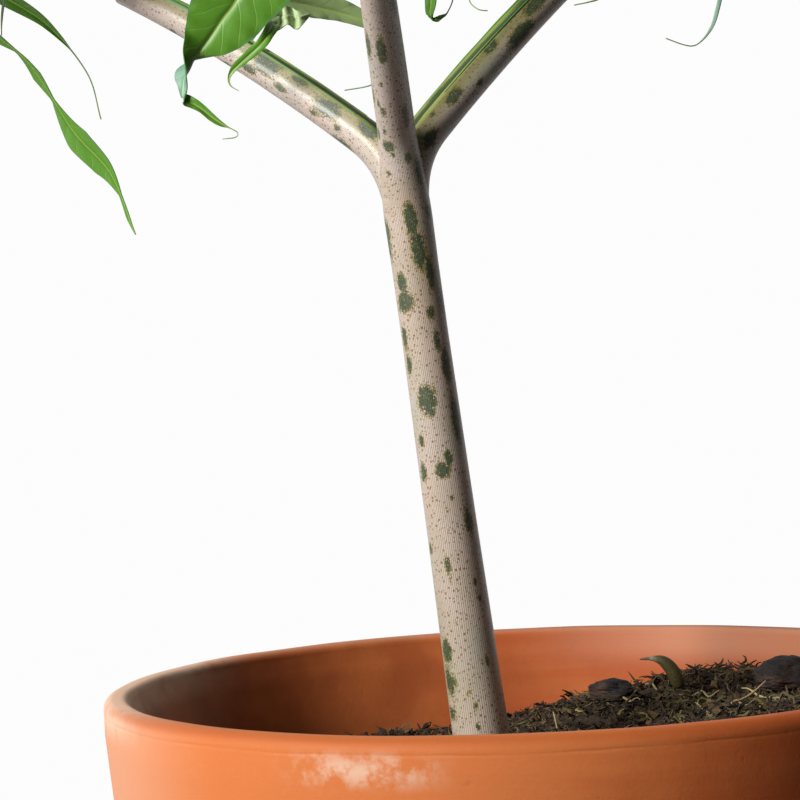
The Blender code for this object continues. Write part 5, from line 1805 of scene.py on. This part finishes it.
class PLANT_OT_tuber(bpy.types.Operator):
    """Give the tuber in the mix its corky skin"""

    bl_idname = "plant.tuber"
    bl_label = "Tuber"

    def execute(self, context):
        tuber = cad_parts["tuber"]
        tuber.data.materials.clear()
        tuber.data.materials.append(tuber_finish())
        return {"FINISHED"}


# Stage

CAMERA_PLACE = (-0.0417, -0.7963, 0.3635)
CAMERA_ROLL = math.radians(2.82)
CAMERA_PITCH = math.radians(89.942)
CAMERA_LENS = 101.75
CAMERA_SENSOR = 36.0
FLOOR_RADIUS = 1.15
KEY_PLACE = (-1.55, -1.15, 1.28)
KEY_SIZE = 0.8
BOUNCE_FROM = (-0.64, -0.20, -0.74)


def look_at(place, target):
    """Turn that points a light at a place."""
    return (Vector(target) - Vector(place)).to_track_quat("-Z", "Y").to_euler()


def soft_light(name, place, target, size, power, colour):
    deselect_all()
    bpy.ops.object.light_add(type="AREA", location=place, rotation=look_at(place, target))
    light = named_new(name)
    light.data.shape = "SQUARE"
    light.data.size = size
    light.data.energy = power
    light.data.color = colour


class PLANT_OT_stage(bpy.types.Operator):
    """Set the floor, the soft light and the camera"""

    bl_idname = "plant.stage"
    bl_label = "Stage"

    def execute(self, context):
        settings = context.scene.plant.stage
        deselect_all()
        bpy.ops.mesh.primitive_circle_add(vertices=128, radius=FLOOR_RADIUS, fill_type="NGON",
                                          location=(0.0, 0.0, -0.0005))
        floor = named_new("floor")
        floor.data.materials.append(floor_finish(settings.floor))
        floor.visible_diffuse = False

        soft_light("key_light", KEY_PLACE, (0.0, 0.0, 0.33), KEY_SIZE, settings.key, (1.0, 0.985, 0.96))
        self.light_world(context.scene, settings)

        deselect_all()
        bpy.ops.object.camera_add(location=CAMERA_PLACE, rotation=(CAMERA_PITCH, CAMERA_ROLL, 0.0))
        camera = named_new("camera")
        camera.data.lens = CAMERA_LENS
        camera.data.sensor_width = CAMERA_SENSOR
        context.scene.camera = camera
        context.scene.view_settings.view_transform = "Standard"
        return {"FINISHED"}

    def light_world(self, scene, settings):
        """A near-white backdrop for the camera, and for the plant a glow from behind that fades to the front."""
        world = bpy.data.worlds.new("studio")
        scene.world = world
        world.use_nodes = True
        nodes = Nodes(world.node_tree)
        direction = nodes.split(nodes.add("TexCoord", output="Generated"))
        glow = settings.fill + (settings.glow - settings.fill) * direction[1].rise(0.0, 0.8)
        x, y, z = direction
        glow = glow + settings.bounce * (x * BOUNCE_FROM[0] + y * BOUNCE_FROM[1] + z * BOUNCE_FROM[2]).rise(0.35, 0.95)
        seen = nodes.add("LightPath", output="Is Camera Ray")
        strength = nodes.add("Mix", {"data_type": "FLOAT"}, {0: seen, 2: glow, 3: settings.backdrop})
        background = world.node_tree.nodes["Background"]
        background.inputs["Color"].default_value = (1.0, 1.0, 1.0, 1.0)
        nodes.feed(background.inputs["Strength"], strength)


PIECES = (
    PLANT_OT_clay_pot,
    PLANT_OT_potting_mix,
    PLANT_OT_litter,
    PLANT_OT_bark_pieces,
    PLANT_OT_tuber,
    PLANT_OT_leaf_stalk,
    PLANT_OT_leaf_stems,
    PLANT_OT_leaflets,
    PLANT_OT_hanging_leaflets,
    PLANT_OT_stage,
)


class PLANT_PT_pieces(bpy.types.Panel):
    """The plant's settings and the operators that build it"""

    bl_idname = "PLANT_PT_pieces"
    bl_label = "Potted amorphophallus"
    bl_space_type = "VIEW_3D"
    bl_region_type = "UI"
    bl_category = "Plant"

    def draw(self, context):
        plant = context.scene.plant
        for title in ("clay", "mix", "stalk", "leaf", "stage"):
            box = self.layout.box()
            box.label(text=title.capitalize())
            group = getattr(plant, title)
            for name in group.__annotations__:
                box.prop(group, name)
        column = self.layout.column(align=True)
        for piece in PIECES:
            column.operator(piece.bl_idname)


SETTINGS = (ClaySettings, MixSettings, StalkSettings, LeafSettings, StageSettings, PlantSettings)


def register():
    for kind in (*SETTINGS, *PIECES, PLANT_PT_pieces):
        bpy.utils.register_class(kind)
    bpy.types.Scene.plant = PointerProperty(type=PlantSettings)


def unregister():
    del bpy.types.Scene.plant
    for kind in reversed((*SETTINGS, *PIECES, PLANT_PT_pieces)):
        bpy.utils.unregister_class(kind)


def main():
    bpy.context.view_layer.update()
    register()
    bpy.ops.plant.clay_pot()
    bpy.ops.plant.potting_mix()
    bpy.ops.plant.litter()
    bpy.ops.plant.bark_pieces()
    bpy.ops.plant.tuber()
    bpy.ops.plant.leaf_stalk()
    bpy.ops.plant.leaf_stems()
    bpy.ops.plant.leaflets()
    bpy.ops.plant.hanging_leaflets()
    bpy.ops.plant.stage()
    deselect_all()


if __name__ == "__main__":
    main()
